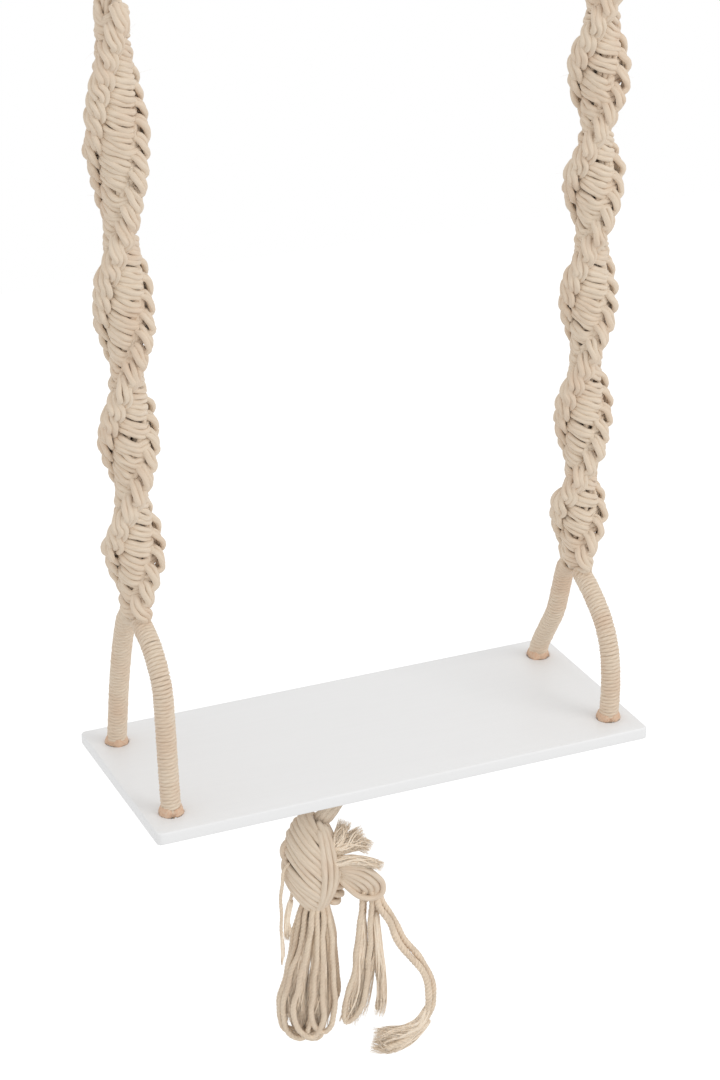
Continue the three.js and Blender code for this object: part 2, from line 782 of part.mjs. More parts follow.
const skeinLoops = [
  [[-13, -8, 152], [-22, -11, 176], [-31, -12, 205], [-38, -12, 238], [-33, -12, 264], [-22, -12, 269],
    [-15, -12, 250], [-12, -12, 215], [-8, -11, 180], [-5, -8, 152]],
  [[-17, -4, 152], [-27, -5, 178], [-34, -6, 210], [-41, -6, 240], [-38, -6, 262], [-28, -6, 268],
    [-8, -6, 262], [2, -6, 240], [3, -6, 200], [-1, -4, 152]],
  [[-12, 0, 158], [-15, 0, 180], [-18, 0, 215], [-20, 0, 250], [-14, 0, 270], [-6, 0, 268],
    [-1, 0, 245], [-2, 0, 205], [-4, 0, 180], [-6, 0, 158]],
  [[-17, 4, 152], [-24, 5, 178], [-30, 6, 215], [-33, 6, 245], [-26, 6, 262], [-14, 6, 255],
    [1, 6, 250], [9, 7, 235], [8, 7, 195], [-1, 4, 152]],
  [[-13, 8, 152], [-20, 11, 178], [-24, 12, 215], [-26, 12, 240], [-18, 12, 256], [-8, 12, 250],
    [3, 12, 240], [7, 12, 215], [4, 11, 180], [-5, 8, 152]],
];
skeinLoops.forEach((places, i) => {
  addStrand(`skein_loop_${i + 1}`, places, tasselCord, 12, skeinBall, true);
});

addStrand('side_skein_loop', [[34, -5, 133], [28, -7, 165], [24, -8, 205], [16, -8, 240], [17, -8, 255],
  [25, -8, 250], [33, -8, 228], [37, -7, 190], [39, -6, 160], [39, -5, 134]], tasselCord, 12, sideBall, true);
addStrand('side_skein_end_a', [[37, 1, 136], [41, 1, 165], [44, 1, 200], [47, 1, 230], [45, 1, 248]],
  tasselCord, 8, sideBall);
addStrand('side_skein_end_b', [[35, 4, 136], [32, 6, 160], [34, 6, 195], [38, 6, 222]],
  tasselCord, 7, sideBall);
addStrand('long_end_a', [[44, -4, 132], [54, -5, 152], [65, -5, 179], [82, -5, 202], [90, -5, 226],
  [85, -5, 253], [66, -5, 277], [51, -5, 284]], tasselCord, 11, sideBall);
addStrand('long_end_b', [[44, 3, 132], [57, 2, 150], [71, 1, 178], [88, 1, 201], [96, 1, 227],
  [90, 1, 257], [70, 1, 283], [56, 1, 288]], tasselCord, 11, sideBall);

// The loop of cords turned out at the knot's side, which carries the side skein
function addTurnedLoop() {
  const route = [[1.4, 0, 99], [7, -1, 98], [15, -1, 98], [27, -1, 102], [36, -0.5, 110], [38, 0, 118]].map(hung);
  route.push(sidePivot.clone().setZ(sidePivot.z + sidePivotRadius + seatGap));
  const points = new THREE.CatmullRomCurve3(route, false, 'centripetal').getSpacedPoints(9);
  addMesh(shelf, 'turned_loop',
    tube(points, () => turnedLoopHalfWidth, () => turnedLoopHalfDepth, 8, Y), cotton);
}

addTurnedLoop();

// Cut ends that stand out of the knot and spread towards their tips
function addTuft(name, places) {
  const points = new THREE.CatmullRomCurve3(places.map(hung), false, 'centripetal').getSpacedPoints(5);
  const wide = (place) => THREE.MathUtils.lerp(tuftRoot, tuftTipWidth, place ** 0.7);
  const deep = (place) => THREE.MathUtils.lerp(tuftRoot, tuftTipDepth, place);
  addMesh(shelf, name, tube(points, wide, deep, 6, Z), cotton);
}

addTuft('upper_tuft', [[-1, -3, 86], [13, -3, 77], [24, -3, 70], [33, -3, 66]]);
addTuft('lower_tuft', [[-0.5, -7, 93], [16, -11, 88], [30, -11, 90], [42, -11, 93]]);

addStrand('loose_end', [[-35.3, -13.8, 94.5], [-36.5, -14, 112], [-38, -14, 130], [-38, -14, 155], [-37, -14, 184]],
  looseCord, 7);
addStrand('short_end', [[-28.2, -5, 121], [-30.5, -8, 133], [-32.5, -10, 148], [-31, -10.5, 163]],
  looseCord, 6);

export default shelf;
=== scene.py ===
import bpy
import numpy as np
from bpy.props import FloatProperty, FloatVectorProperty, PointerProperty
from mathutils import Matrix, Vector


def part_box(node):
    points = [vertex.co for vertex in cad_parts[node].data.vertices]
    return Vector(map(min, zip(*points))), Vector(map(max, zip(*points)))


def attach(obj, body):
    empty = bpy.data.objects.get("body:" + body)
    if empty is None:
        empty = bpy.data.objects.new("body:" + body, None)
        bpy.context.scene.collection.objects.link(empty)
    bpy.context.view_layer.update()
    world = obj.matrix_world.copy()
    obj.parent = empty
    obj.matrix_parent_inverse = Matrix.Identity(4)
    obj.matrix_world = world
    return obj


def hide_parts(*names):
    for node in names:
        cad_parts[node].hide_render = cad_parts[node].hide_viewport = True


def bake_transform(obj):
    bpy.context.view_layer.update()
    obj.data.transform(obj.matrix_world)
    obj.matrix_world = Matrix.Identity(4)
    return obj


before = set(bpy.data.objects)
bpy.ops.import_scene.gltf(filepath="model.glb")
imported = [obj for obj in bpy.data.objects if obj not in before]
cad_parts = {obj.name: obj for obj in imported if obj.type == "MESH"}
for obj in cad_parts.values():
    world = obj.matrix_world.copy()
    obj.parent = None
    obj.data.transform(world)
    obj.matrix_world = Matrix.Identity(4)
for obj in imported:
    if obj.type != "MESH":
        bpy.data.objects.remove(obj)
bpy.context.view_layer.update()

bl_info = {
    "name": "Hanging rope shelf",
    "version": (1, 0, 0),
    "blender": (4, 5, 0),
    "location": "3D View > Sidebar > Rope shelf",
    "description": "Dresses a painted board hung from knotted cotton straps",
    "category": "Object",
}

MM = 0.001
TURN = 2 * np.pi
X = np.array([1.0, 0.0, 0.0])
Y = np.array([0.0, 1.0, 0.0])
Z = np.array([0.0, 0.0, 1.0])
# A laid cord has three plies, and its plies, or a strand's fibres, turn once in each lay
PLIES = 3
STRAND_LAY = 26 * MM
WINDING_LAY = 8 * MM
CORD_LAY = 12 * MM
ROPE_LAY = 34 * MM
# The first seed of each kind of random draw
SEEDS = {"half knots": 11, "whippings": 20, "feet": 40, "foot fibres": 60, "wraps": 70,
         "knot wraps": 90, "locks": 200, "tufts": 300, "strays": 400, "stray fibres": 420,
         "knot strands": 500, "cords": 600}

# The board's box gives its length, depth and thickness, and where its top lies
board_low, board_high = (np.array(corner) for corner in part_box("shelf_board"))
BOARD_HALF_X = board_high[0]
BOARD_HALF_Y = board_high[1]
BOARD_TOP = board_high[2]
BOARD_UNDER = board_low[2]
BOARD_MIDDLE = (BOARD_TOP + BOARD_UNDER) / 2
BOARD_CORNER = 4 * MM
# The holes stand in from the board's ends and long edges, and their rims are eased
HOLE_X = BOARD_HALF_X - 23 * MM
HOLE_Y = BOARD_HALF_Y - 30.5 * MM
HOLE_EASE = 0.9 * MM

# The knotted straps, as the construction model has them. The apex is the height over the board
# at which a strap parts into its legs, and each half turn of the spiral takes some half knots.
# The right one leans outwards, and its top has room to move, where the swaying linkage is open.
STRAP_TOP = -104 * MM
STRAPS = {
    "left": {"sign": -1, "apex": 150 * MM, "lean": 0.0, "spare": 0.0,
             "half_turns": [7.5, 8, 9.2, 12.5, 12]},
    "right": {"sign": 1, "apex": 119 * MM, "lean": 11 * MM, "spare": 2 * MM,
              "half_turns": [6.5, 8.2, 8.2, 7.3, 7.8, 8]},
}
NECK_ANGLE = np.radians(66.4)
KNOT_PITCH = 12.7 * MM
KNOT_HALF_WIDTH = 24 * MM
KNOT_HALF_DEPTH = 14.4 * MM
APEX_RISE = 14 * MM
STRAP_TOP_SPARE = 13 * MM
CORE_ROUND = 5.3 * MM
# A half turn of a working cord, from right to left over the front bar, out at the left,
# down over the end of the other cord's bar and in behind that cord
HALF_KNOT_SHARES = np.array([
    [0.55, -0.10, -0.36],
    [0.45, -0.46, -0.32],
    [0.22, -0.67, -0.16],
    [-0.05, -0.70, 0.05],
    [-0.28, -0.60, 0.26],
    [-0.42, -0.26, 0.46],
    [-0.52, 0.02, 0.60],
    [-0.66, 0.03, 0.54],
    [-0.81, -0.12, 0.22],
    [-0.85, -0.42, -0.20],
    [-0.76, -0.68, -0.58],
    [-0.64, -0.62, -0.95],
    [-0.57, -0.28, -1.24],
])
# How flat the strands lie at each of those places, from 0, a round bundle, to 1, side by side
FLAT_SHARES = np.array([0.8, 1, 1, 1, 1, 0.9, 0.8, 0.8, 0.9, 1, 1, 0.9, 0.8])

LEG_CORE = 4.4 * MM
# The legs' middle lines, as shares of the way across to the hole and of the apex's height
LEG_ROUTES = {
    "left_front": [[0.52, 0.9], [0.82, 0.743], [0.895, 0.546], [0.93, 0.349], [0.96, 0.197], [1, 0]],
    "left_back": [[0.36, 0.92], [0.56, 0.75], [0.8, 0.42], [0.91, 0.2], [1, 0]],
    "right_front": [[0.45, 0.88], [0.78, 0.73], [0.96, 0.56], [1.03, 0.35], [1.03, 0.14], [1, 0]],
    "right_back": [[0.26, 0.92], [0.38, 0.73], [0.52, 0.5], [0.74, 0.3], [0.93, 0.13], [1, 0.03]],
}


def linear(hex_colour):
    """The linear values of an sRGB colour written as a hex value."""
    srgb = np.array([int(hex_colour[i:i + 2], 16) for i in (1, 3, 5)]) / 255
    return tuple(np.where(srgb <= 0.04045, srgb / 12.92, ((srgb + 0.055) / 1.055) ** 2.4))


class BoardSettings(bpy.types.PropertyGroup):
    edge_round: FloatProperty(name="Edge round", description="Radius of the board's sanded edges",
                              default=1.8 * MM, unit="LENGTH")
    hole_bore: FloatProperty(name="Hole bore", description="Width of the four holes for the legs",
                             default=20 * MM, unit="LENGTH")
    paint: FloatVectorProperty(name="Paint", description="Colour of the white satin paint",
                               default=linear("#eaeaea"), subtype="COLOR", size=3)


class CordSettings(bpy.types.PropertyGroup):
    strand: FloatProperty(name="Strand", description="Width of one strand of the straps",
                          default=5.1 * MM, unit="LENGTH")
    filler: FloatProperty(name="Filler strand", default=3.7 * MM, unit="LENGTH",
                          description="Width of one strand inside the straps and legs")
    whipping: FloatProperty(name="Whipping cord", description="Width of the cord wound round a leg",
                            default=3.06 * MM, unit="LENGTH")
    cotton: FloatVectorProperty(name="Cotton", description="Colour of the undyed cotton",
                                default=linear("#e3d3bf"), subtype="COLOR", size=3)
    # Painted shade between the plies of a cord, which also gives the low fibre streaks their darker tone
    streak_and_crease_shade: FloatVectorProperty(name="Crease", description="Colour between the plies of a cord",
                                default=linear("#c0a98e"), subtype="COLOR", size=3)
    rubbed: FloatVectorProperty(name="Rubbed cotton", description="Pinkish colour of handled cotton",
                                default=linear("#d9bfa7"), subtype="COLOR", size=3)


class TasselSettings(bpy.types.PropertyGroup):
    cord: FloatProperty(name="Tassel cord", description="Width of the cords of the tassel",
                        default=5.5 * MM, unit="LENGTH")
    thin_cord: FloatProperty(name="Thin cord", description="Width of the thin loose ends",
                             default=3.2 * MM, unit="LENGTH")
    # Painted light: the tassel's cords are the same undyed cotton as the straps, and this lighter copy
    # offsets the shade between them
    soft: FloatVectorProperty(name="Soft cotton", default=linear("#f0dec7"), subtype="COLOR", size=3,
                              description="Colour of the cleaner cords of the tassel")
    # Partly the lighter tone of combed out fibres and partly painted light: nearly white, so that the
    # fibres lose less to the shade that they cast on each other
    frayed: FloatVectorProperty(name="Frayed cotton", description="Colour of the combed out fibres",
                                default=linear("#f7e9d7"), subtype="COLOR", size=3)
    brown_fray: FloatVectorProperty(name="Brown fray", default=linear("#d2ae93"), subtype="COLOR", size=3,
                                    description="Colour of the cut ends at the board")


class StageSettings(bpy.types.PropertyGroup):
    floor_drop: FloatProperty(name="Floor drop", description="Height of the board over the floor",
                              default=1.7, unit="LENGTH")
    backdrop: FloatVectorProperty(name="Backdrop", description="Colour of floor and background",
                                  default=(1.0, 1.0, 1.0), subtype="COLOR", size=3)


def unit(vectors):
    """Each vector divided by its length."""
    return vectors / np.linalg.norm(vectors, axis=-1, keepdims=True)


def smooth_line(places, step):
    """A centripetal Catmull-Rom line through the places, sampled at even steps of its length.
    Columns past the third ride along with the place."""
    places = np.asarray(places, float)
    ends = np.vstack([2 * places[0] - places[1], places, 2 * places[-1] - places[-2]])
    gaps = np.sqrt(np.linalg.norm(np.diff(ends[:, :3], axis=0), axis=1))
    d0, d1, d2 = (gaps[i:len(gaps) - 2 + i, None] for i in range(3))
    p0, p1, p2, p3 = (ends[i:len(ends) - 3 + i] for i in range(4))
    m1 = d1 * ((p1 - p0) / d0 - (p2 - p0) / (d0 + d1) + (p2 - p1) / d1)
    m2 = d1 * ((p2 - p1) / d1 - (p3 - p1) / (d1 + d2) + (p3 - p2) / d2)
    t = np.linspace(0, 1, 24, endpoint=False)[None, :, None]
    p1, p2, m1, m2 = (a[:, None, :] for a in (p1, p2, m1, m2))
    fine = ((2 * t**3 - 3 * t**2 + 1) * p1 + (t**3 - 2 * t**2 + t) * m1
            + (3 * t**2 - 2 * t**3) * p2 + (t**3 - t**2) * m2).reshape(-1, places.shape[1])
    fine = np.vstack([fine, places[-1]])
    run = np.concatenate([[0], np.cumsum(np.linalg.norm(np.diff(fine[:, :3], axis=0), axis=1))])
    even = np.linspace(0, run[-1], max(int(round(run[-1] / step)), 2) + 1)
    return np.column_stack([np.interp(even, run, column) for column in fine.T])


def lengths(path):
    """Length along a path, or along each of a stack of paths, at each station."""
    steps = np.linalg.norm(np.diff(path, axis=-2), axis=-1)
    start = np.zeros(steps.shape[:-1] + (1,))
    return np.concatenate([start, np.cumsum(steps, axis=-1)], axis=-1)


def frames(path, reference):
    """Tangent, normal and side at each station; the normal leans towards the reference."""
    tangent = unit(np.gradient(path, axis=-2))
    reference = np.broadcast_to(reference, path.shape)
    normal = unit(reference - tangent * np.sum(reference * tangent, axis=-1, keepdims=True))
    return tangent, normal, np.cross(tangent, normal)


def wander(run, reach, seed, period):
    """A slow seeded wave along a length: the sum of three sines with drawn phases."""
    rng = np.random.default_rng(seed)
    phases = rng.uniform(0, TURN, 3)
    return reach * sum(np.sin(TURN * run / period * rate + phase) / 1.6
                       for rate, phase in zip((1.0, 0.57, 1.73), phases))


def tube(path, reference, wide, deep, sides=8, lay=STRAND_LAY, lobe=0.0, blunt=True):
    """A closed tube carried along a path: at angle a a point is the path plus wide cos(a) along
    the normal and deep sin(a) along the side. With lobes the ring turns once in each lay and its
    radius dips between the plies, which gives the plies of a laid cord. The result is rings and
    the two texture values: turns of the lay and length."""
    run = lengths(path)
    _, normal, side = frames(path, reference)
    share = np.arange(sides) / sides
    turned = run[..., None] / lay if lobe else 0.0
    angle = TURN * (share + 0.5 + turned)
    dip = 1 - lobe * (0.5 - 0.5 * np.cos(TURN * PLIES * share))
    ends = np.ones(path.shape[-2])
    if blunt:
        ends[[0, -1]] = 0.55
        ends[[1, -2]] = 0.88
    wide = np.broadcast_to(wide, run.shape)[..., None] * ends[:, None] * dip
    deep = np.broadcast_to(deep, run.shape)[..., None] * ends[:, None] * dip
    rings = (path[..., None, :] + (wide * np.cos(angle))[..., None] * normal[..., None, :]
             + (deep * np.sin(angle))[..., None] * side[..., None, :])
    laid = np.zeros_like(run) if lobe or not lay else run / lay
    return rings, laid, run


def ring_of_strands(path, reference, count, radius, width, start=0.0, turn=np.inf, fuller=(1, 1)):
    """Strands in a ring about a path: strand n of the count stands at n plus start steps round the
    ring, and goes on by one radian in each turn's length. Fuller strands are that many times as
    wide away from the path and along the ring."""
    run = lengths(path)
    _, normal, side = frames(path, reference)
    tubes = []
    for n in range(count):
        angle = (TURN * (n + start) / count + run / turn)[:, None]
        strand = path + radius * (np.cos(angle) * normal + np.sin(angle) * side)
        tubes.append(tube(strand, strand - path, width / 2 * fuller[0], width / 2 * fuller[1]))
    return tubes


def mesh_of(name, tubes):
    """One mesh from tubes: quads between neighbouring rings and a polygon over each end.
    The first texture value is the plies times the share of the ring plus the turns of the lay."""
    points, loops, starts, coords = [], [], [], []
    point_count = loop_count = 0
    for rings, laid, run in tubes:
        stack = rings.reshape((-1,) + rings.shape[-3:])
        copies, stations, sides = stack.shape[:3]
        laid = laid.reshape(copies, stations)
        run = run.reshape(copies, stations)
        c, i, j = np.meshgrid(np.arange(copies), np.arange(stations - 1), np.arange(sides), indexing="ij")
        base = point_count + c * stations * sides
        near, far = i * sides, (i + 1) * sides
        after = (j + 1) % sides
        quads = np.stack([base + near + j, base + near + after, base + far + after, base + far + j], -1)
        u = np.stack([j, j + 1, j + 1, j], -1) * PLIES / sides
        here, there = laid[c, i], laid[c, i + 1]
        u = u + np.stack([here, here, there, there], -1)
        v = np.stack([run[c, i], run[c, i], run[c, i + 1], run[c, i + 1]], -1)
        loops.append(quads.ravel())
        coords.append(np.stack([u.ravel(), v.ravel()], -1))
        starts.append(loop_count + 4 * np.arange(quads.size // 4))
        loop_count += quads.size
        for ring, order in ((0, np.arange(sides)[::-1]), (stations - 1, np.arange(sides))):
            caps = point_count + (np.arange(copies)[:, None] * stations + ring) * sides + order
            loops.append(caps.ravel())
            coords.append(np.stack([np.zeros(caps.size), np.repeat(run[:, ring], sides)], -1))
            starts.append(loop_count + sides * np.arange(copies))
            loop_count += caps.size
        points.append(stack.reshape(-1, 3))
        point_count += stack.size // 3
    starts = np.concatenate(starts)
    mesh = bpy.data.meshes.new(name)
    mesh.vertices.add(point_count)
    mesh.vertices.foreach_set("co", np.vstack(points).astype(np.float32).ravel())
    mesh.loops.add(loop_count)
    mesh.loops.foreach_set("vertex_index", np.concatenate(loops).astype(np.int32))
    mesh.polygons.add(len(starts))
    mesh.polygons.foreach_set("loop_start", starts.astype(np.int32))
    layer = mesh.uv_layers.new(name="lay")
    layer.data.foreach_set("uv", np.vstack(coords).astype(np.float32).ravel())
    mesh.update(calc_edges=True)
    mesh.validate()
    mesh.shade_smooth()
    return mesh


def add_piece(name, shape, finish, body):
    """Puts a piece in the scene, from a mesh or from tubes. It rides on its body, and stands for
    the construction node of its own name where there is one."""
    mesh = shape if isinstance(shape, bpy.types.Mesh) else mesh_of(name, shape)
    piece = bpy.data.objects.new(name + "_look", mesh)
    bpy.context.scene.collection.objects.link(piece)
    mesh.materials.append(finishes()[finish])
    if body:
        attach(piece, body)
    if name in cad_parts:
        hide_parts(name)
    return piece


def fibres(roots, ways, reach, radius, seed, curl, stations=6):
    """Fine tapered fibres of three sides: each leaves its root along its way and bends aside with
    the square of the distance by a drawn amount."""
    rng = np.random.default_rng(seed)
    count = len(roots)
    s = np.linspace(0, 1, stations)[None, :, None]
    aside = rng.normal(size=(count, 1, 3)) * curl
    path = roots[:, None, :] + reach[:, None, None] * (unit(ways)[:, None, :] * s + aside * s**2)
    thick = radius * (1 - 0.75 * s[..., 0]) * np.ones((count, 1))
    reference = unit(rng.normal(size=(count, 1, 3)))
    return tube(path, reference, thick, thick, sides=3, lay=None, blunt=False)


# Materials, each named for what the real one is

COMBED = "combed single strand cotton"
WOUND = "close wound cotton cord"
LAID = "loose laid cotton cord"
FIBRE = "combed cotton fibre"
CUT = "brown cut cotton fibre"
PAINT = "white satin paint on wood"


def node(tree, kind, inputs=(), **settings):
    """Adds a node, sets its properties and fills or links its inputs."""
    made = tree.nodes.new(kind)
    for key, value in settings.items():
        setattr(made, key, value)
    for key, value in dict(inputs).items():
        if isinstance(value, bpy.types.NodeSocket):
            tree.links.new(value, made.inputs[key])
        else:
            made.inputs[key].default_value = value
    return made


def new_material(name):
    """A material without nodes, and its tree."""
    material = bpy.data.materials.new(name)
    material.use_nodes = True
    material.node_tree.nodes.clear()
    return material, material.node_tree


def opaque(colour):
    """A colour with its alpha, which a colour socket wants."""
    return (*colour, 1.0)


def cotton_material(name, base, streak_and_crease_shade, rubbed, plies, patches=0.5):
    """Cotton cord, undyed: matt, with soft plies and fibres that run along the cord. The plies
    show as darker creases, which are painted shade between the plies, the fibres as fine
    streaks of their own darker tone with the lay, and handling as slow warm patches. Depth of
    the plies goes from 0, a combed single strand, to 1, a hard laid cord."""
    material, tree = new_material(name)
    where = node(tree, "ShaderNodeTexCoord")
    uv = node(tree, "ShaderNodeSeparateXYZ", {"Vector": where.outputs["UV"]})
    wave = node(tree, "ShaderNodeMath", {0: uv.outputs["X"], 1: TURN}, operation="MULTIPLY")
    ply = node(tree, "ShaderNodeMath", {0: wave.outputs[0]}, operation="COSINE")
    crest = node(tree, "ShaderNodeMapRange", {"Value": ply.outputs[0], "From Min": -1.0, "From Max": 0.2,
                                              "To Min": -plies, "To Max": 0.0})
    # Streaks of fibres, about 0.9 mm apart round the cord and 14 mm long
    spread = node(tree, "ShaderNodeMapping",
                  {"Vector": where.outputs["UV"], "Scale": (4.5, 1 / (14 * MM), 1.0)})
    streak = node(tree, "ShaderNodeTexNoise",
                  {"Vector": spread.outputs["Vector"], "Scale": 1.0, "Detail": 4.0, "Roughness": 0.65})
    # Short fibres that stand up, about 1.1 mm apart
    grain = node(tree, "ShaderNodeTexNoise", {"Vector": where.outputs["Object"], "Scale": 1 / (1.1 * MM),
                                              "Detail": 3.0, "Roughness": 0.6})
    fibre = node(tree, "ShaderNodeMath", {0: grain.outputs["Fac"], 1: 0.35, 2: streak.outputs["Fac"]},
                 operation="MULTIPLY_ADD")
    relief = node(tree, "ShaderNodeMath", {0: crest.outputs["Result"], 1: fibre.outputs[0]},
                  operation="ADD")
    # Warm patches of handling, about 28 mm across
    patch = node(tree, "ShaderNodeTexNoise",
                 {"Vector": where.outputs["Object"], "Scale": 1 / (28 * MM), "Detail": 2.0})
    warm = node(tree, "ShaderNodeMapRange",
                {"Value": patch.outputs["Fac"], "From Min": 0.42, "From Max": 0.72, "To Max": patches})
    tint = node(tree, "ShaderNodeMix", {"Factor": warm.outputs["Result"], "A": opaque(base),
                                        "B": opaque(rubbed)}, data_type="RGBA")
    # Painted shade: the colour goes towards the crease colour where the relief is low, in the creases
    # between the plies; low fibre streaks take it as their own darker tone
    deep = node(tree, "ShaderNodeMapRange", {"Value": relief.outputs[0], "From Min": 0.35,
                                             "From Max": 0.78, "To Min": 0.4, "To Max": 0.0})
    colour = node(tree, "ShaderNodeMix", {"Factor": deep.outputs["Result"], "A": tint.outputs["Result"],
                                          "B": opaque(streak_and_crease_shade)}, data_type="RGBA")
    bump = node(tree, "ShaderNodeBump",
                {"Height": relief.outputs[0], "Strength": 0.5, "Distance": 0.4 * MM})
    shader = node(tree, "ShaderNodeBsdfPrincipled",
                  {"Base Color": colour.outputs["Result"], "Roughness": 0.92, "IOR": 1.47,
                   "Sheen Weight": 0.25, "Sheen Roughness": 0.5, "Specular IOR Level": 0.2,
                   "Normal": bump.outputs["Normal"]})
    node(tree, "ShaderNodeOutputMaterial", {"Surface": shader.outputs["BSDF"]})
    return material


def fibre_material(name, base, shade):
    """Combed out cotton fibres: matt, and lighter or darker from fibre to fibre."""
    material, tree = new_material(name)
    where = node(tree, "ShaderNodeTexCoord")
    streak = node(tree, "ShaderNodeTexNoise",
                  {"Vector": where.outputs["Object"], "Scale": 1 / (1.5 * MM), "Detail": 2.0})
    mixed = node(tree, "ShaderNodeMapRange",
                 {"Value": streak.outputs["Fac"], "From Min": 0.35, "From Max": 0.65})
    colour = node(tree, "ShaderNodeMix", {"Factor": mixed.outputs["Result"], "A": opaque(base),
                                          "B": opaque(shade)}, data_type="RGBA")
    shader = node(tree, "ShaderNodeBsdfPrincipled",
                  {"Base Color": colour.outputs["Result"], "Roughness": 0.95, "Specular IOR Level": 0.05})
    node(tree, "ShaderNodeOutputMaterial", {"Surface": shader.outputs["BSDF"]})
    return material


def paint_material(name, base):
    """White satin paint rolled on smooth wood: even, with a faint orange peel of the roller
    about 2 mm across and the long faint rise of the grain under it."""
    material, tree = new_material(name)
    where = node(tree, "ShaderNodeTexCoord")
    along = node(tree, "ShaderNodeMapping",
                 {"Vector": where.outputs["Object"], "Scale": (0.06, 1.0, 1.0)})
    grain = node(tree, "ShaderNodeTexNoise",
                 {"Vector": along.outputs["Vector"], "Scale": 1 / (3 * MM), "Detail": 3.0})
    peel = node(tree, "ShaderNodeTexNoise",
                {"Vector": where.outputs["Object"], "Scale": 1 / (2 * MM), "Detail": 1.0})
    relief = node(tree, "ShaderNodeMath", {0: grain.outputs["Fac"], 1: peel.outputs["Fac"]},
                  operation="ADD")
    bump = node(tree, "ShaderNodeBump",
                {"Height": relief.outputs[0], "Strength": 0.12, "Distance": 0.1 * MM})
    tone = node(tree, "ShaderNodeMapRange",
                {"Value": grain.outputs["Fac"], "From Min": 0.3, "From Max": 0.7, "To Max": 0.1})
    darker = tuple(0.9 * value for value in base)
    colour = node(tree, "ShaderNodeMix", {"Factor": tone.outputs["Result"], "A": opaque(base),
                                          "B": opaque(darker)}, data_type="RGBA")
    shader = node(tree, "ShaderNodeBsdfPrincipled",
                  {"Base Color": colour.outputs["Result"], "Roughness": 0.48, "IOR": 1.5,
                   "Specular IOR Level": 0.4, "Normal": bump.outputs["Normal"]})
    node(tree, "ShaderNodeOutputMaterial", {"Surface": shader.outputs["BSDF"]})
    return material


def finishes():
    """The object's materials, made once."""
    if COMBED not in bpy.data.materials:
        cords = bpy.context.scene.rope_cords
        tassel = bpy.context.scene.rope_tassel
        cotton_material(COMBED, cords.cotton, cords.streak_and_crease_shade, cords.rubbed, plies=0.1)
        cotton_material(WOUND, cords.cotton, cords.streak_and_crease_shade, cords.rubbed, plies=0.3, patches=0.8)
        # The tassel's cords take the lighter copy of the cotton, painted light against the shade between
        # the cords
        cotton_material(LAID, tassel.soft, cords.streak_and_crease_shade, cords.rubbed, plies=0.12)
        # The combed fibres are near white over the tassel's lighter cotton: partly their own lighter tone
        # and partly painted light against the shade among the fibres
        fibre_material(FIBRE, tassel.frayed, tassel.soft)
        fibre_material(CUT, tassel.brown_fray, cords.rubbed)
        paint_material(PAINT, bpy.context.scene.rope_board.paint)
    return bpy.data.materials


# The board

def quadrant(width, depth, corner, hole, count):
    """Points on a quadrant's outline, from the hole's centre at even angles: the outline is a
    rectangle from the board's middle with one rounded corner at width, depth."""
    corners = np.array([[0, 0], [width, 0], [0, depth]]) - hole
    angle = np.concatenate([TURN * np.arange(count) / count, np.arctan2(corners[:, 1], corners[:, 0])])
    angle = np.unique(np.round(angle % TURN, 9))
    way = np.stack([np.cos(angle), np.sin(angle)], -1)
    with np.errstate(divide="ignore"):
        reach_x = np.where(way[:, 0] > 0, (width - hole[0]) / way[:, 0], -hole[0] / way[:, 0])
        reach_y = np.where(way[:, 1] > 0, (depth - hole[1]) / way[:, 1], -hole[1] / way[:, 1])
    reach = np.minimum(np.abs(reach_x), np.abs(reach_y))
    outline = np.array(hole) + reach[:, None] * way
    centre = np.array([width - corner, depth - corner])
    past = outline - centre
    rounded = np.all(past > 0, axis=1)
    outline[rounded] = centre + corner * unit(past[rounded] + 1e-12)
    return angle, outline


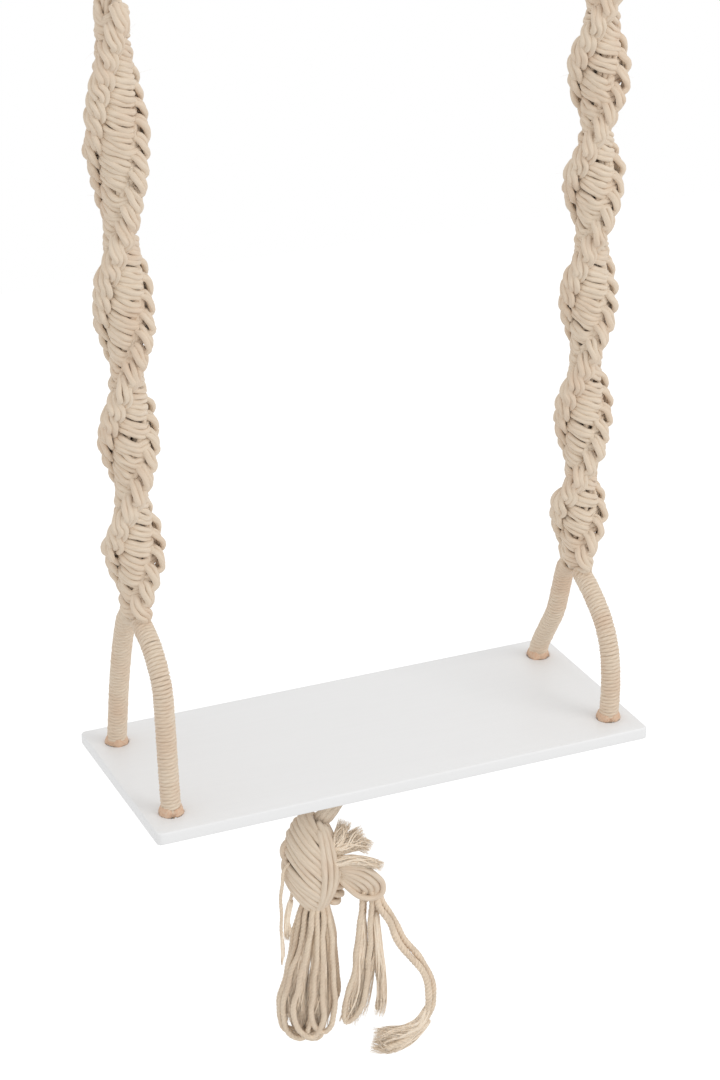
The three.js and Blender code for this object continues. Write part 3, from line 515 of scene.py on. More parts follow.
def board_mesh(settings):
    """The board as four mirrored quadrants, each a surface of the angle about its hole and of a
    profile that goes up the hole's wall, over the top, down the side and back underneath."""
    edge = settings.edge_round
    bore = settings.hole_bore / 2
    hole = (HOLE_X, HOLE_Y)
    angle, outline = quadrant(BOARD_HALF_X, BOARD_HALF_Y, BOARD_CORNER, hole, 72)
    way = np.stack([np.cos(angle), np.sin(angle)], -1)
    reach = np.array([BOARD_HALF_X, BOARD_HALF_Y])
    outer = outline >= reach - BOARD_CORNER
    inward = -outer.astype(float) * unit(np.maximum(outline - reach + BOARD_CORNER, 0) + 1e-12)
    half = (BOARD_TOP - BOARD_UNDER) / 2
    arc = np.linspace(0, np.pi / 2, 6)
    rows = []
    for a in arc:
        flat = np.array(hole) + way * (bore + HOLE_EASE * (1 - np.cos(a)))
        rows.append((flat, half - HOLE_EASE * (1 - np.sin(a))))
    for a in arc[::-1]:
        flat = outline + inward * edge * (1 - np.cos(a))
        rows.append((flat, half - edge * (1 - np.sin(a))))
    flats = np.stack([flat for flat, _ in rows])
    heights = np.array([height for _, height in rows])
    top = np.concatenate([flats, np.broadcast_to(heights[:, None, None], flats.shape[:2] + (1,))], -1)
    under = top[::-1] * np.array([1, 1, -1])
    profile = np.concatenate([top, under])
    profile[..., 2] += BOARD_MIDDLE
    stations, count = profile.shape[:2]
    i, j = np.meshgrid(np.arange(stations), np.arange(count), indexing="ij")
    quads = np.stack([i * count + j, i * count + (j + 1) % count,
                      (i + 1) % stations * count + (j + 1) % count, (i + 1) % stations * count + j], -1)
    # The side wall stands only along the outline, not along the seams between quadrants
    walled = np.any(outer, axis=1)
    keep = np.ones((stations, count), bool)
    at_side = (np.arange(stations) >= len(arc)) & (np.arange(stations) < stations - len(arc) - 1)
    keep[at_side] = (walled & np.roll(walled, -1))[None, :]
    quads = quads[keep]
    points, faces = [], []
    for n, (sx, sy) in enumerate(((1, 1), (-1, 1), (-1, -1), (1, -1))):
        points.append(profile.reshape(-1, 3) * np.array([sx, sy, 1]))
        faces.append((quads if sx * sy > 0 else quads[:, ::-1]) + n * stations * count)
    points = np.vstack(points)
    faces = np.vstack(faces)
    # Points of neighbouring quadrants that meet become one, and faces without an area go
    keys = np.round(points / (0.001 * MM)).astype(np.int64)
    _, first, same = np.unique(keys, axis=0, return_index=True, return_inverse=True)
    points = points[first]
    faces = same.reshape(-1)[faces]
    corners = [[v for n, v in enumerate(face) if v != face[n - 1]] for face in faces]
    corners = [face for face in corners if len(face) > 2]
    mesh = bpy.data.meshes.new("shelf_board")
    mesh.from_pydata(points.tolist(), [], corners)
    mesh.update()
    mesh.validate()
    mesh.shade_smooth()
    return mesh


class ShelfBoard(bpy.types.Operator):
    """Lays the painted board with its sanded edges and four eased holes"""
    bl_idname = "rope_shelf.board"
    bl_label = "Board"

    def execute(self, context):
        mesh = board_mesh(context.scene.rope_board)
        add_piece("shelf_board", mesh, PAINT, "shelf")
        return {"FINISHED"}


# The straps

def strap_place(side):
    """The strap's foot, its length and the turn from its own axis to the world."""
    strap = STRAPS[side]
    foot = np.array([strap["sign"] * HOLE_X, 0, BOARD_TOP + strap["apex"]])
    top = np.array([strap["sign"] * (HOLE_X + strap["lean"]), 0, STRAP_TOP - strap["spare"]])
    axis = top - foot
    length = np.linalg.norm(axis)
    up = axis / length
    right = unit(np.cross(Y, up))
    return foot, length, np.stack([right, np.cross(up, right), up], -1)


def spiral_angle(half_turns, knots):
    """Angle of the strap's wide axis, some half knots above its foot: half a turn in each of the
    given counts of half knots, and on at the last count's rate."""
    # More half knots than any strap has
    above = 1000
    counts = np.concatenate([[0], np.cumsum(half_turns), [above]])
    turns = np.arange(len(counts), dtype=float)
    turns[-1] = turns[-2] + (above - counts[-2]) / half_turns[-1]
    return NECK_ANGLE + np.pi * np.interp(knots, counts, turns)


def working_cord(side, phase, step):
    """The line of one working cord down its strap, in the strap's own axes, with how flat its
    strands lie and the way out of the strap: the gradient of its oval section."""
    strap = STRAPS[side]
    _, length, _ = strap_place(side)
    knots = int((length - APEX_RISE - STRAP_TOP_SPARE) // KNOT_PITCH)
    count = len(HALF_KNOT_SHARES)
    # One half knot more than the construction model has closes the strap up to its wrap
    k = np.repeat(np.arange(-2, knots + 1), count)
    i = np.tile(np.arange(count), knots + 3)
    used = ~(((k == -2) & (i < count - 1)) | ((k == knots) & (i > 0)))
    k, i = k[used], i[used]
    sx, sy, sz = HALF_KNOT_SHARES[i].T
    turn = np.where((k + phase) % 2 == 0, 1, -1)
    from_foot = knots - 1 - k + sz
    rng = np.random.default_rng(SEEDS["half knots"] + phase + 7 * strap["sign"])
    # Each knot is pulled a little more or less tight, and its bar lies a little higher or steeper
    tight, raised, steep = rng.normal(size=(3, knots + 3)) * np.array([[0.04], [0.09], [0.14]])
    angle = spiral_angle(strap["half_turns"], from_foot)
    x = turn * sx * KNOT_HALF_WIDTH * (1 + tight[k + 2] + rng.normal(size=len(k)) * 0.02)
    y = turn * sy * KNOT_HALF_DEPTH
    on_bar = np.abs(sx) < 0.5
    height = (from_foot + on_bar * (raised[k + 2] - steep[k + 2] * sx)) * KNOT_PITCH + APEX_RISE
    out_x, out_y = x / KNOT_HALF_WIDTH**2, y / KNOT_HALF_DEPTH**2
    c, s = np.cos(angle), np.sin(angle)
    places = np.column_stack([x * c - y * s, x * s + y * c, height, FLAT_SHARES[i],
                              out_x * c - out_y * s, out_x * s + out_y * c, np.zeros(len(k))])
    return smooth_line(places, step)


def strap_strands(side, phase, width):
    """Three strands of a working cord: side by side where they can be seen and drawn closer
    where the cord dives. Each wanders, swells and flattens slowly on its own."""
    foot, _, turn = strap_place(side)
    line = working_cord(side, phase, 2.0 * MM)
    path, flat, out = line[:, :3], np.clip(line[:, 3], 0, 1), line[:, 4:]
    run = lengths(path)
    _, outward, across = frames(path, out)
    tubes = []
    for n, lane in enumerate((-1, 0, 1)):
        seed = 10 * n + 40 * phase
        aside = lane * width * (0.48 + 0.3 * flat) + wander(run, 0.5 * MM, seed, 33 * MM)
        # The middle strand rides over the other two, most where they are drawn together
        lift = width * ((1 - flat) * (0.5 if lane == 0 else -0.28) + (0.12 if lane == 0 else -0.05))
        lift = lift + wander(run, 0.5 * MM, seed + 1, 23 * MM)
        swell = wander(run, 0.2 * MM, seed + 2, 41 * MM)
        strand = path + across * aside[:, None] + outward * lift[:, None]
        tubes.append(tube(foot + strand @ turn.T, outward @ turn.T, width * 0.53 - swell,
                          width / 2 + swell, sides=10))
    return tubes


def core_strands(side, width):
    """Filler strands of the strap: an oval bundle that the knots press flat and turn with them,
    ten round four."""
    foot, length, turn = strap_place(side)
    height = np.linspace(-3 * MM, length - 2 * MM, 160)
    spiral = spiral_angle(STRAPS[side]["half_turns"], (height - APEX_RISE) / KNOT_PITCH)
    # From 0 at the strap's ends, where the bundle is round, to 1 between them
    pressed = np.clip(np.minimum(height - APEX_RISE, length - STRAP_TOP_SPARE - height) / (12 * MM), 0, 1)
    c, s = np.cos(spiral), np.sin(spiral)
    tubes = []
    for n in range(14):
        parts, radius = (10, 1.0) if n < 10 else (4, 0.42)
        angle = TURN * n / parts + height / (130 * MM) + 0.3 * np.sin(height / (31 * MM) + n)
        x = radius * (CORE_ROUND + pressed * 8.6 * MM) * np.cos(angle)
        y = radius * (CORE_ROUND + pressed * 0.2 * MM) * np.sin(angle)
        path = np.column_stack([x * c - y * s, x * s + y * c, height])
        out = path * np.array([1, 1, 0])
        tubes.append(tube(foot + path @ turn.T, out @ turn.T, width / 2, width / 2))
    return tubes


class KnottedStraps(bpy.types.Operator):
    """Ties the two spiral straps of half knots round their filler cords"""
    bl_idname = "rope_shelf.straps"
    bl_label = "Knotted straps"

    def execute(self, context):
        width = context.scene.rope_cords.strand
        for side in STRAPS:
            body = side + "_strap"
            for phase, letter in enumerate("ab"):
                add_piece(f"{body}_cord_{letter}", strap_strands(side, phase, width), COMBED, body)
            add_piece(body + "_core", core_strands(side, width), COMBED, body)
        return {"FINISHED"}


# The legs

WHIPPING_RADIUS = 6.8 * MM
WRAP_RADIUS = 10.7 * MM
WINDING_THICKNESS = 3.5 * MM
WINDING_FLATTENED = 1.2
# Rings of the winding's tube in each of its turns
WINDING_STEPS = 22
# The winding starts where a strap's two legs stand clear of each other
LEGS_CLEAR = 8.6 * MM


def hole_place(name, height):
    """The middle of a leg's hole, at a height. The leg is named for its side and front or back."""
    side, end = name.split("_")
    return np.array([STRAPS[side]["sign"] * HOLE_X, HOLE_Y if end == "back" else -HOLE_Y, height])


def leg_line(name, step):
    """The middle line of a leg, from inside its strap to its hole in the board."""
    apex = STRAPS[name.split("_")[0]]["apex"]
    x, y, _ = hole_place(name, BOARD_TOP)
    sign = np.sign(y)
    # Inside the strap the two legs run close together
    places = [[x, sign * 2.6 * MM, BOARD_TOP + apex + 16 * MM], [x, sign * 7 * MM, BOARD_TOP + apex]]
    places += [[x, across * y, BOARD_TOP + up * apex] for across, up in LEG_ROUTES[name]]
    return smooth_line([*places, [x, y, BOARD_MIDDLE]], step)


def leg_bundle(name, width):
    """Five strands that leave the strap and fill the leg, in a slow turn."""
    return ring_of_strands(leg_line(name, 3 * MM), X, 5, 0.6 * LEG_CORE, width, turn=40 * MM)


def wound_cord(path, radius, pitch, seed):
    """A cord wound round a line: its middle is the line plus the radius turned once in each
    pitch, and its section is pressed a little wider along the line than the pitch."""
    run = lengths(path)
    at = np.linspace(0, run[-1], int(run[-1] / pitch * WINDING_STEPS))
    line = np.column_stack([np.interp(at, run, column) for column in path.T])
    tangent, normal, side = frames(line, X)
    angle = (TURN * at / pitch)[:, None]
    out = np.cos(angle) * normal + np.sin(angle) * side
    lift = radius + wander(at, 0.12 * MM, seed, 9 * MM)
    middle = line + out * lift[:, None] + tangent * wander(at, 0.14 * MM, seed + 1, 13 * MM)[:, None]
    return tube(middle, out, WINDING_THICKNESS / 2, pitch * WINDING_FLATTENED / 2, lay=WINDING_LAY)


class WhippedLegs(bpy.types.Operator):
    """Parts each strap into two legs and winds them close with thin cord"""
    bl_idname = "rope_shelf.legs"
    bl_label = "Whipped legs"

    def execute(self, context):
        cords = context.scene.rope_cords
        for number, name in enumerate(LEG_ROUTES):
            body = name.split("_")[0] + "_strap"
            add_piece(name + "_leg_cord", leg_bundle(name, cords.filler), COMBED, body)
            path = leg_line(name, 2 * MM)
            wound = path[(np.abs(path[:, 1]) > LEGS_CLEAR) & (path[:, 2] > BOARD_TOP + 0.6 * MM)]
            winding = wound_cord(wound, WHIPPING_RADIUS, cords.whipping, SEEDS["whippings"] + number)
            add_piece(name + "_leg_whipping", [winding], WOUND, body)
        return {"FINISHED"}


def frayed_foot(name, number):
    """The cut ends round the foot of a leg: short fibres that stand out and down, and a cuff that
    flares to the board and whose edge is ragged by a sum of sines of the angle."""
    centre = hole_place(name, BOARD_TOP)
    rng = np.random.default_rng(SEEDS["feet"] + number)
    count = 200
    angle = rng.uniform(0, TURN, count)
    out = np.column_stack([np.cos(angle), np.sin(angle), np.zeros(count)])
    # Millimetres from the leg's middle and over the board
    from_middle = rng.uniform(8.6, 9.8, (count, 1))
    above = rng.uniform(0.5, 3.5, (count, 1))
    roots = centre + out * from_middle * MM + Z * above * MM
    ways = out * rng.uniform(0.2, 0.8, (count, 1)) - Z * rng.uniform(0.5, 1.1, (count, 1))
    ways += rng.normal(size=(count, 3)) * 0.35
    reach = rng.gamma(3.0, 0.5, count).clip(0.6, 3.2) * MM
    tuft = fibres(roots, ways, reach, 0.2 * MM, SEEDS["foot fibres"] + number, curl=0.3)
    turn = np.linspace(0, TURN, 73)[:, None]
    phases = rng.uniform(0, TURN, 4)
    ragged = sum(np.sin(rate * turn + phase) for rate, phase in zip((2, 3, 5, 8), phases))
    around = np.hstack([np.cos(turn), np.sin(turn), np.zeros_like(turn)])
    ring = centre + around * (8.9 + 0.22 * ragged) * MM + Z * (3.1 + 0.2 * ragged) * MM
    cuff = tube(ring, Z - 0.32 * around, (3.4 + 0.3 * ragged[:, 0]) * MM, 0.75 * MM, sides=12,
                lay=7 * MM, blunt=False)
    return [tuft, cuff]


class FrayedFeet(bpy.types.Operator):
    """Frays the cut ends of the winding where each leg meets the board"""
    bl_idname = "rope_shelf.feet"
    bl_label = "Frayed feet"

    def execute(self, context):
        for number, name in enumerate(LEG_ROUTES):
            add_piece(name + "_frayed_end", frayed_foot(name, number), CUT, "shelf")
        return {"FINISHED"}


# The hanging loops, which the picture doesn't reach

LOOP_ROPE = 12 * MM
LOOP_EYE_HEIGHT = 46 * MM
LOOP_EYE_WIDTH = 30 * MM
LOOP_TAIL_SPACING = 12.8 * MM
SWING_PIVOT = -65.35 * MM


def loop_line(x):
    """The rope's middle line: up one tail, round the eye and down the other tail."""
    tail_end = -(LOOP_EYE_HEIGHT + LOOP_ROPE / 2)
    tail, wide, crown = LOOP_TAIL_SPACING / 2, (LOOP_EYE_WIDTH + LOOP_ROPE) / 2, LOOP_ROPE / 2
    half = [[tail * 0.8, tail_end - 12 * MM], [tail * 0.95, tail_end - 5 * MM],
            [tail, tail_end + LOOP_ROPE * 0.35], [tail, tail_end + LOOP_ROPE * 1.05],
            [wide * 0.8, crown - LOOP_EYE_HEIGHT * 0.62], [wide, crown - LOOP_EYE_HEIGHT * 0.34],
            [wide * 0.72, crown - LOOP_EYE_HEIGHT * 0.08], [0, crown]]
    other = [[-y, z] for y, z in half[-2::-1]]
    return smooth_line([[x, y, z] for y, z in half + other], 1.6 * MM)


def loop_bundle(x, width):
    """Eleven cords from a hanging loop down into its strap: a ring whose radius narrows towards
    the strap and that goes round by one radian in each 70 mm."""
    height = np.linspace(SWING_PIVOT + 8 * MM, STRAP_TOP - 7 * MM, 24)
    stops = [STRAP_TOP - 7 * MM, STRAP_TOP + 4 * MM, SWING_PIVOT, SWING_PIVOT + 8 * MM]
    reach = np.interp(height, stops, [5.2 * MM, 7.2 * MM, 7.4 * MM, 8.6 * MM])
    tubes = []
    for n in range(11):
        angle = TURN * n / 11 + height / (70 * MM)
        out = np.column_stack([np.cos(angle), np.sin(angle), np.zeros_like(angle)])
        path = np.array([x, 0, 0]) + out * reach[:, None] + Z * height[:, None]
        tubes.append(tube(path, out, width / 2, width / 2))
    return tubes


class HangingLoops(bpy.types.Operator):
    """Hangs each strap from a loop of laid rope closed by a close wrap"""
    bl_idname = "rope_shelf.loops"
    bl_label = "Hanging loops"

    def execute(self, context):
        cords = context.scene.rope_cords
        for side, strap in STRAPS.items():
            x = strap["sign"] * (HOLE_X + strap["lean"])
            body = side + "_wrap"
            rope = tube(loop_line(x), X, LOOP_ROPE / 2, LOOP_ROPE / 2, sides=24, lay=ROPE_LAY, lobe=0.2)
            loop = add_piece(side + "_hanging_loop", [rope], COMBED, None)
            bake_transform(loop)
            add_piece(side + "_loop_bundle", loop_bundle(x, cords.filler), COMBED, body)
            line = np.linspace([x, 0, SWING_PIVOT + 4 * MM], [x, 0, STRAP_TOP + 3 * MM], 60)
            wrap = wound_cord(line, WRAP_RADIUS, cords.whipping, SEEDS["wraps"])
            add_piece(side + "_loop_wrap", [wrap], WOUND, body)
        return {"FINISHED"}


# The cords under the board and the large overhand knot

SLING_RADIUS = 4.5 * MM
GATHER = np.array([-10 * MM, -5 * MM, 0])
KNOT_CORD = 7 * MM
KNOT_AXIS = np.array([-66.9 * MM, -34.8 * MM, 0])
# The knot begins this far under the board's top
KNOT_TOP_DOWN = 61 * MM
KNOT_HEIGHT = 66 * MM
KNOT_ENTRY = np.arctan2(GATHER[1] - KNOT_AXIS[1], GATHER[0] - KNOT_AXIS[0])
# The thick cord goes round the knot's axis at its own radius and a small gap
PASS_RADIUS = KNOT_CORD + 0.45 * MM
# The tassel's middle, and its turn about the vertical, which sets its across to the picture's
TASSEL = np.array([-55 * MM, -40 * MM])
TASSEL_TURN = np.radians(-23.7)


def hung(places):
    """Places about the tassel, given in millimetres across, away and down from the board's top."""
    across, away, down = np.asarray(places, float).T * MM
    c, s = np.cos(TASSEL_TURN), np.sin(TASSEL_TURN)
    return np.column_stack([TASSEL[0] + across * c - away * s, TASSEL[1] + across * s + away * c,
                            BOARD_TOP - down])


TOWARDS_CAMERA = hung([[0, -1, 0]])[0] - hung([[0, 0, 0]])[0]


def about_knot(angle, radius, down, lean=1.0, rise=0.0):
    """A row of the knot's line: a place about its axis, and the way that its ring of strands
    starts from, which is lean outwards and rise upwards."""
    out = np.array([np.cos(angle), np.sin(angle), 0.0])
    place = KNOT_AXIS + out * radius + np.array([0, 0, BOARD_TOP - down])
    return [*place, *(out * lean + Z * rise)]


def knot_rows():
    """The knot's inside as one thick cord that comes from the gather and goes down through the
    knot in one and a half turns."""
    gather = [[-1, 0, -12], [-2, -1, -20], [-7, -4, -26], [-18, -13, -33], [-32, -25, -37]]
    starts = [[0.9, 0.45, -0.3], [0.7, 0.35, -0.7]] + [[0, 0, -1]] * 3
    rows = [[*(GATHER + np.array([x, y, 0]) * MM + Z * (BOARD_UNDER + z * MM)), *start]
            for (x, y, z), start in zip(gather, starts)]
    rows.append(about_knot(KNOT_ENTRY - 0.6, PASS_RADIUS * 2, KNOT_TOP_DOWN - 7 * MM, 0.7, -0.7))
    rows += [about_knot(KNOT_ENTRY + TURN * 1.5 * s, PASS_RADIUS, KNOT_TOP_DOWN + KNOT_HEIGHT * s)
             for s in np.arange(13) / 12]
    rows += [[*place, *rows[-1][3:]] for place in hung([[-9, 0, 139.5], [-9, 0, 146]])]
    return np.array(rows)


def knot_strands(width):
    """The knot's inside: a ring of eight strands about the line that the knot follows."""
    line = smooth_line(knot_rows(), 2.6 * MM)
    return ring_of_strands(line[:, :3], line[:, 3:], 8, KNOT_CORD - width / 2, width, start=0.25,
                           fuller=(1.1, 1.05))


# The outside of the knot as an egg: its middle and half sizes in millimetres across, away and down
KNOT_MIDDLE = np.array([-12.5, 0.0, 97.0])
KNOT_HALF = np.array([22.0, 20.0, 46.0])
# The slanting wraps: their slant in degrees, and their spacing where the half height is 1
WRAP_SLANT = 50
WRAP_STEP = 0.147
# The upright band: where its strands stand, in degrees to the right of the front, and how far out
BAND = [(30, 1.1), (43, 1.14), (57, 1.15), (72, 1.12), (90, 1.04)]
# Small turns at the knot's sides, by their middles and half sizes: two that stand up and four
# that lie nearly flat
STANDING_TURNS = [([-30, -2, 84], [6, 8, 9]), ([-29, -4, 97], [6, 8, 10])]
FLAT_TURNS = [([10, 5, 113], [5, 6, 1]), ([9, 4, 121], [6, 6, 1]), ([8, 4, 129], [6, 6, 2]),
              ([7, 3, 136], [4, 6, 1])]


def over_knot(across, away, down, width, seed):
    """A strand over the knot, given by its places on an egg of radius 1."""
    places = KNOT_MIDDLE + np.column_stack([across, away, down]) * KNOT_HALF
    path = hung(places)
    out = path - hung([KNOT_MIDDLE])[0]
    swell = wander(lengths(path), 0.25 * MM, seed, 50 * MM)
    return tube(path, out, width * 0.49, width / 2 + swell, sides=10)


def knot_wraps(width):
    """The strands over the knot. A slanting wrap is where a slanting plane cuts the egg: a ring
    whose middle shifts and whose size shrinks with the plane's distance from the egg's middle.
    The upright band follows the egg's meridians, and small turns stand out at both sides."""
    rng = np.random.default_rng(SEEDS["knot wraps"])
    first = SEEDS["knot strands"]
    t = np.linspace(0, TURN, 64)
    tubes = []
    for down in np.arange(-0.98, 1.0, WRAP_STEP):
        slant = np.tan(np.radians(WRAP_SLANT + rng.normal() * 3.2)) * KNOT_HALF[0] / KNOT_HALF[2]
        down = down + rng.normal() * 0.014
        middle = -down * slant / (1 + slant**2)
        size = np.sqrt(max(1 - down**2 / (1 + slant**2), 0.02)) * (1 + rng.normal() * 0.012)
        chord = size / np.sqrt(1 + slant**2)
        across = middle + chord * np.cos(t)
        away = -size * np.sin(t)
        tubes.append(over_knot(across, away, down + slant * across, width, first + len(tubes)))
    for degrees, swell in BAND:
        turn = np.radians(degrees)
        height = np.radians(np.linspace(-58 + rng.normal() * 4, 84, 40))
        reach = swell * np.cos(height) + 0.03 * np.sin(5 * height + turn)
        across, away = reach * np.sin(turn), -reach * np.cos(turn)
        tubes.append(over_knot(across, away, 1.02 * np.sin(height), width, first + len(tubes)))
    standing = np.column_stack([np.cos(t), 0.35 * np.cos(t), np.sin(t)])
    lying = np.column_stack([np.cos(t), np.sin(t), np.sin(t + 1)])
    for form, turns in ((standing, STANDING_TURNS), (lying, FLAT_TURNS)):
        for middle, size in turns:
            path = hung(middle + form * size)
            tubes.append(tube(path, path - path.mean(0), width / 2, width / 2, sides=10))
    return tubes


def lock(route, count, start, end, thick, seed, shares=(0.8, 1.0), sides=5):
    """Loose yarns along a route: each keeps its own place in the lock's section, which grows
    from the start's two half widths to the end's, sways a little and thins towards its tip."""
    rng = np.random.default_rng(seed)
    line = smooth_line(hung(route), 1.5 * MM)
    run = lengths(line) / lengths(line)[-1]
    _, normal, side = frames(line, TOWARDS_CAMERA)
    # Every yarn ends at a drawn share of the route
    at = np.linspace(0, 1, 18)[None, :]
    share = at * rng.uniform(*shares, (count, 1))
    middle, normal, side = (np.stack([np.interp(share, run, column) for column in part.T], -1)
                            for part in (line, normal, side))
    angle = rng.uniform(0, TURN, (count, 1))
    angle = angle + 0.5 * np.sin(TURN * (share * 1.3 + rng.uniform(0, 1, (count, 1))))
    reach = np.sqrt(rng.uniform(0.02, 1, (count, 1)))
    wide, deep = (MM * (start[n] + (end[n] - start[n]) * share**1.4) * reach for n in (0, 1))
    path = middle + side * (wide * np.cos(angle))[..., None] + normal * (deep * np.sin(angle))[..., None]
    radius = thick * (1 - 0.7 * at**3) * rng.uniform(0.75, 1.15, (count, 1))
    return tube(path, unit(rng.normal(size=(count, 1, 3))), radius, radius * 0.8, sides=sides)


def fluffy(route, count, start, end, thick, seed):
    """A lock of yarns with fine fibres between and past their tips."""
    return [lock(route, count, start, end, thick, seed),
            lock(route, count * 5, [1.1 * v for v in start], [1.15 * v for v in end], 0.25 * MM, seed + 1,
                 (0.85, 1.06), 3)]


def sling_strands(name, width):
    """Five strands from a hole along the underside that turn down into the knot's cord."""
    hole = hole_place(name, 0)
    way = unit((GATHER - hole) * np.array([1, 1, 0]))
    run = np.linalg.norm((GATHER - hole)[:2])
    level = BOARD_UNDER - 0.35 * MM - SLING_RADIUS
    bend = SLING_RADIUS * 2
    # Distances from the hole, with heights
    stops = [[0, BOARD_MIDDLE - 1 * MM], [0, BOARD_UNDER - 1.5 * MM],
             [bend * 0.45, level + SLING_RADIUS * 0.35], [bend * 1.2, level], [bend * 2.4, level],
             [run * 0.45, level - 1.6 * MM], [run - 19 * MM, level], [run - 9 * MM, level - 1 * MM],
             [run - 4 * MM, level - 8 * MM], [run - 3 * MM, level - 18 * MM]]
    path = smooth_line([hole + way * along + Z * height for along, height in stops], 3 * MM)
    return ring_of_strands(path, np.cross(way, Z), 5, 0.58 * SLING_RADIUS, width, turn=90 * MM)


class UndersideCords(bpy.types.Operator):
    """Gathers the cords of the four holes under the board"""
    bl_idname = "rope_shelf.slings"
    bl_label = "Underside cords"

    def execute(self, context):
        width = context.scene.rope_cords.filler
        for name in LEG_ROUTES:
            add_piece(name + "_sling", sling_strands(name, width), COMBED, "shelf")
        return {"FINISHED"}


# The loop of cords turned out at the knot's side: its rim, and four folds inside it
TURNED_RIM = [[0, -4, 99], [10, -7, 98], [22, -9, 96.5], [34, -9, 98.5], [44, -7, 107], [49.5, -4, 117],
              [48.5, -4, 126], [41, -6, 129.5], [30, -8, 127], [20, -7, 119], [11, -4, 110], [0, -1, 104]]
TURNED_FOLDS = [
    [[0, -2, 99.5], [9, -5, 100], [20, -8, 100], [31, -8, 103], [40, -6, 111], [44.5, -3, 120],
     [43, 0, 131]],
    [[0, 0, 100], [9, -3, 101.5], [18, -7, 103], [28, -7.5, 107.5], [36, -5.5, 114.5],
     [39.5, -2.5, 122], [38, 0, 132]],
    [[0, 2, 100.5], [9, -1, 103], [16, -5, 106], [25, -6, 111], [31.5, -4.5, 117.5], [34.5, -2, 124],
     [33, 0, 132]],
    [[0, 3, 101], [8, 1, 104.5], [14, -3, 109], [21, -4.5, 114.5], [27, -3.5, 121], [29, -1, 127],
     [28, 0, 132]],
]


class LargeKnot(bpy.types.Operator):
    """Ties the large overhand knot and the loop of cords turned out at its side"""
    bl_idname = "rope_shelf.knot"
    bl_label = "Large knot"

    def execute(self, context):
        width = context.scene.rope_tassel.cord
        add_piece("tassel_knot", knot_strands(width) + knot_wraps(width), COMBED, "shelf")
        ways = [(TURNED_RIM, 0.5, 0.46)] + [(fold, 0.58, 0.56) for fold in TURNED_FOLDS]
        turned = [tube(smooth_line(hung(way), 1.6 * MM), TOWARDS_CAMERA, width * wide, width * deep,
                       sides=10) for way, wide, deep in ways]
        add_piece("turned_loop", turned, COMBED, "shelf")
        return {"FINISHED"}


# The tassel. Each route is in millimetres across, away and down. The construction model has the
# first five loops, and the others fill the skein.
SKEIN_ROUTES = {
    "skein_loop_1": [
        [-10, -7, 128], [-17, -9, 141], [-22, -11, 176], [-31, -12, 205], [-38, -12, 238], [-33, -12, 264],
        [-22, -12, 269], [-15, -12, 250], [-12, -12, 215], [-9, -11, 180], [-8, -9, 145], [-7, -7, 128],
    ],
    "skein_loop_2": [
        [-13, -4, 128], [-21, -5, 141], [-27, -5, 178], [-34, -6, 210], [-41, -6, 240], [-38, -6, 262],
        [-28, -6, 268], [-8, -6, 262], [2, -6, 240], [3, -6, 200], [0, -6, 150], [-3, -4, 128],
    ],
    "skein_loop_3": [
        [-11, 0, 128], [-13, 0, 150], [-15, 0, 180], [-18, 0, 215], [-20, 0, 250], [-14, 0, 270],
        [-6, 0, 268], [-1, 0, 245], [-2, 0, 205], [-4, 0, 170], [-5, 0, 145], [-6, 0, 128],
    ],
    "skein_loop_4": [
        [-12, 4, 128], [-18, 5, 145], [-24, 5, 178], [-30, 6, 215], [-33, 6, 245], [-26, 6, 262],
        [-14, 6, 255], [1, 6, 250], [9, 7, 235], [8, 7, 195], [3, 5, 150], [-3, 4, 128],
    ],
    "skein_loop_5": [
        [-11, 6, 128], [-15, 9, 145], [-20, 11, 178], [-24, 12, 215], [-26, 12, 240], [-18, 12, 256],
        [-8, 12, 250], [3, 12, 240], [7, 12, 215], [4, 11, 180], [0, 9, 145], [-5, 6, 128],
    ],
    "skein_loop_6": [
        [-9, -8, 130], [-12, -12, 145], [-16, -15, 178], [-24, -16, 210], [-29, -16, 240], [-24, -16, 258],
        [-12, -15, 266], [-4, -14, 250], [-3, -14, 215], [-3, -12, 175], [-2, -9, 145], [-4, -6, 128],
    ],
    "skein_loop_7": [
        [-14, -1, 128], [-22, -1, 145], [-30, -2, 180], [-36, -2, 212], [-42, -1, 240], [-40, 0, 258],
        [-32, 1, 267], [-22, 1, 262], [-16, -1, 235], [-11, -2, 200], [-7, -2, 150], [-7, -1, 128],
    ],
    "skein_loop_8": [
        [-7, -6, 130], [-7, -10, 145], [-8, -13, 180], [-11, -14, 215], [-13, -14, 242], [-10, -13, 256],
        [-3, -12, 262], [4, -11, 256], [7, -10, 242], [6, -10, 205], [3, -7, 145], [-1, -4, 128],
    ],
    "skein_loop_9": [
        [-12, 2, 128], [-20, 3, 145], [-26, 2, 180], [-30, 1, 215], [-31, 1, 243], [-27, 1, 259],
        [-20, 1, 265], [-12, 1, 259], [-9, 1, 243], [-11, 1, 210], [-11, 2, 165], [-9, 2, 128],
    ],
    "skein_loop_10": [
        [-9, -3, 128], [-11, -4, 145], [-14, -4, 180], [-22, -4, 215], [-25, -5, 245], [-17, -5, 272],
        [-7, -5, 272], [-3, -4, 245], [0, -4, 210], [1, -4, 175], [0, -4, 145], [-4, -3, 128],
    ],
    "skein_loop_11": [
        [-12, 3, 128], [-17, 4, 150], [-19, 3, 190], [-27, 3, 225], [-31, 3, 248], [-27, 2, 266],
        [-16, 2, 270], [-6, 3, 256], [1, 4, 225], [2, 4, 185], [-1, 3, 150], [-5, 3, 128],
    ],
}
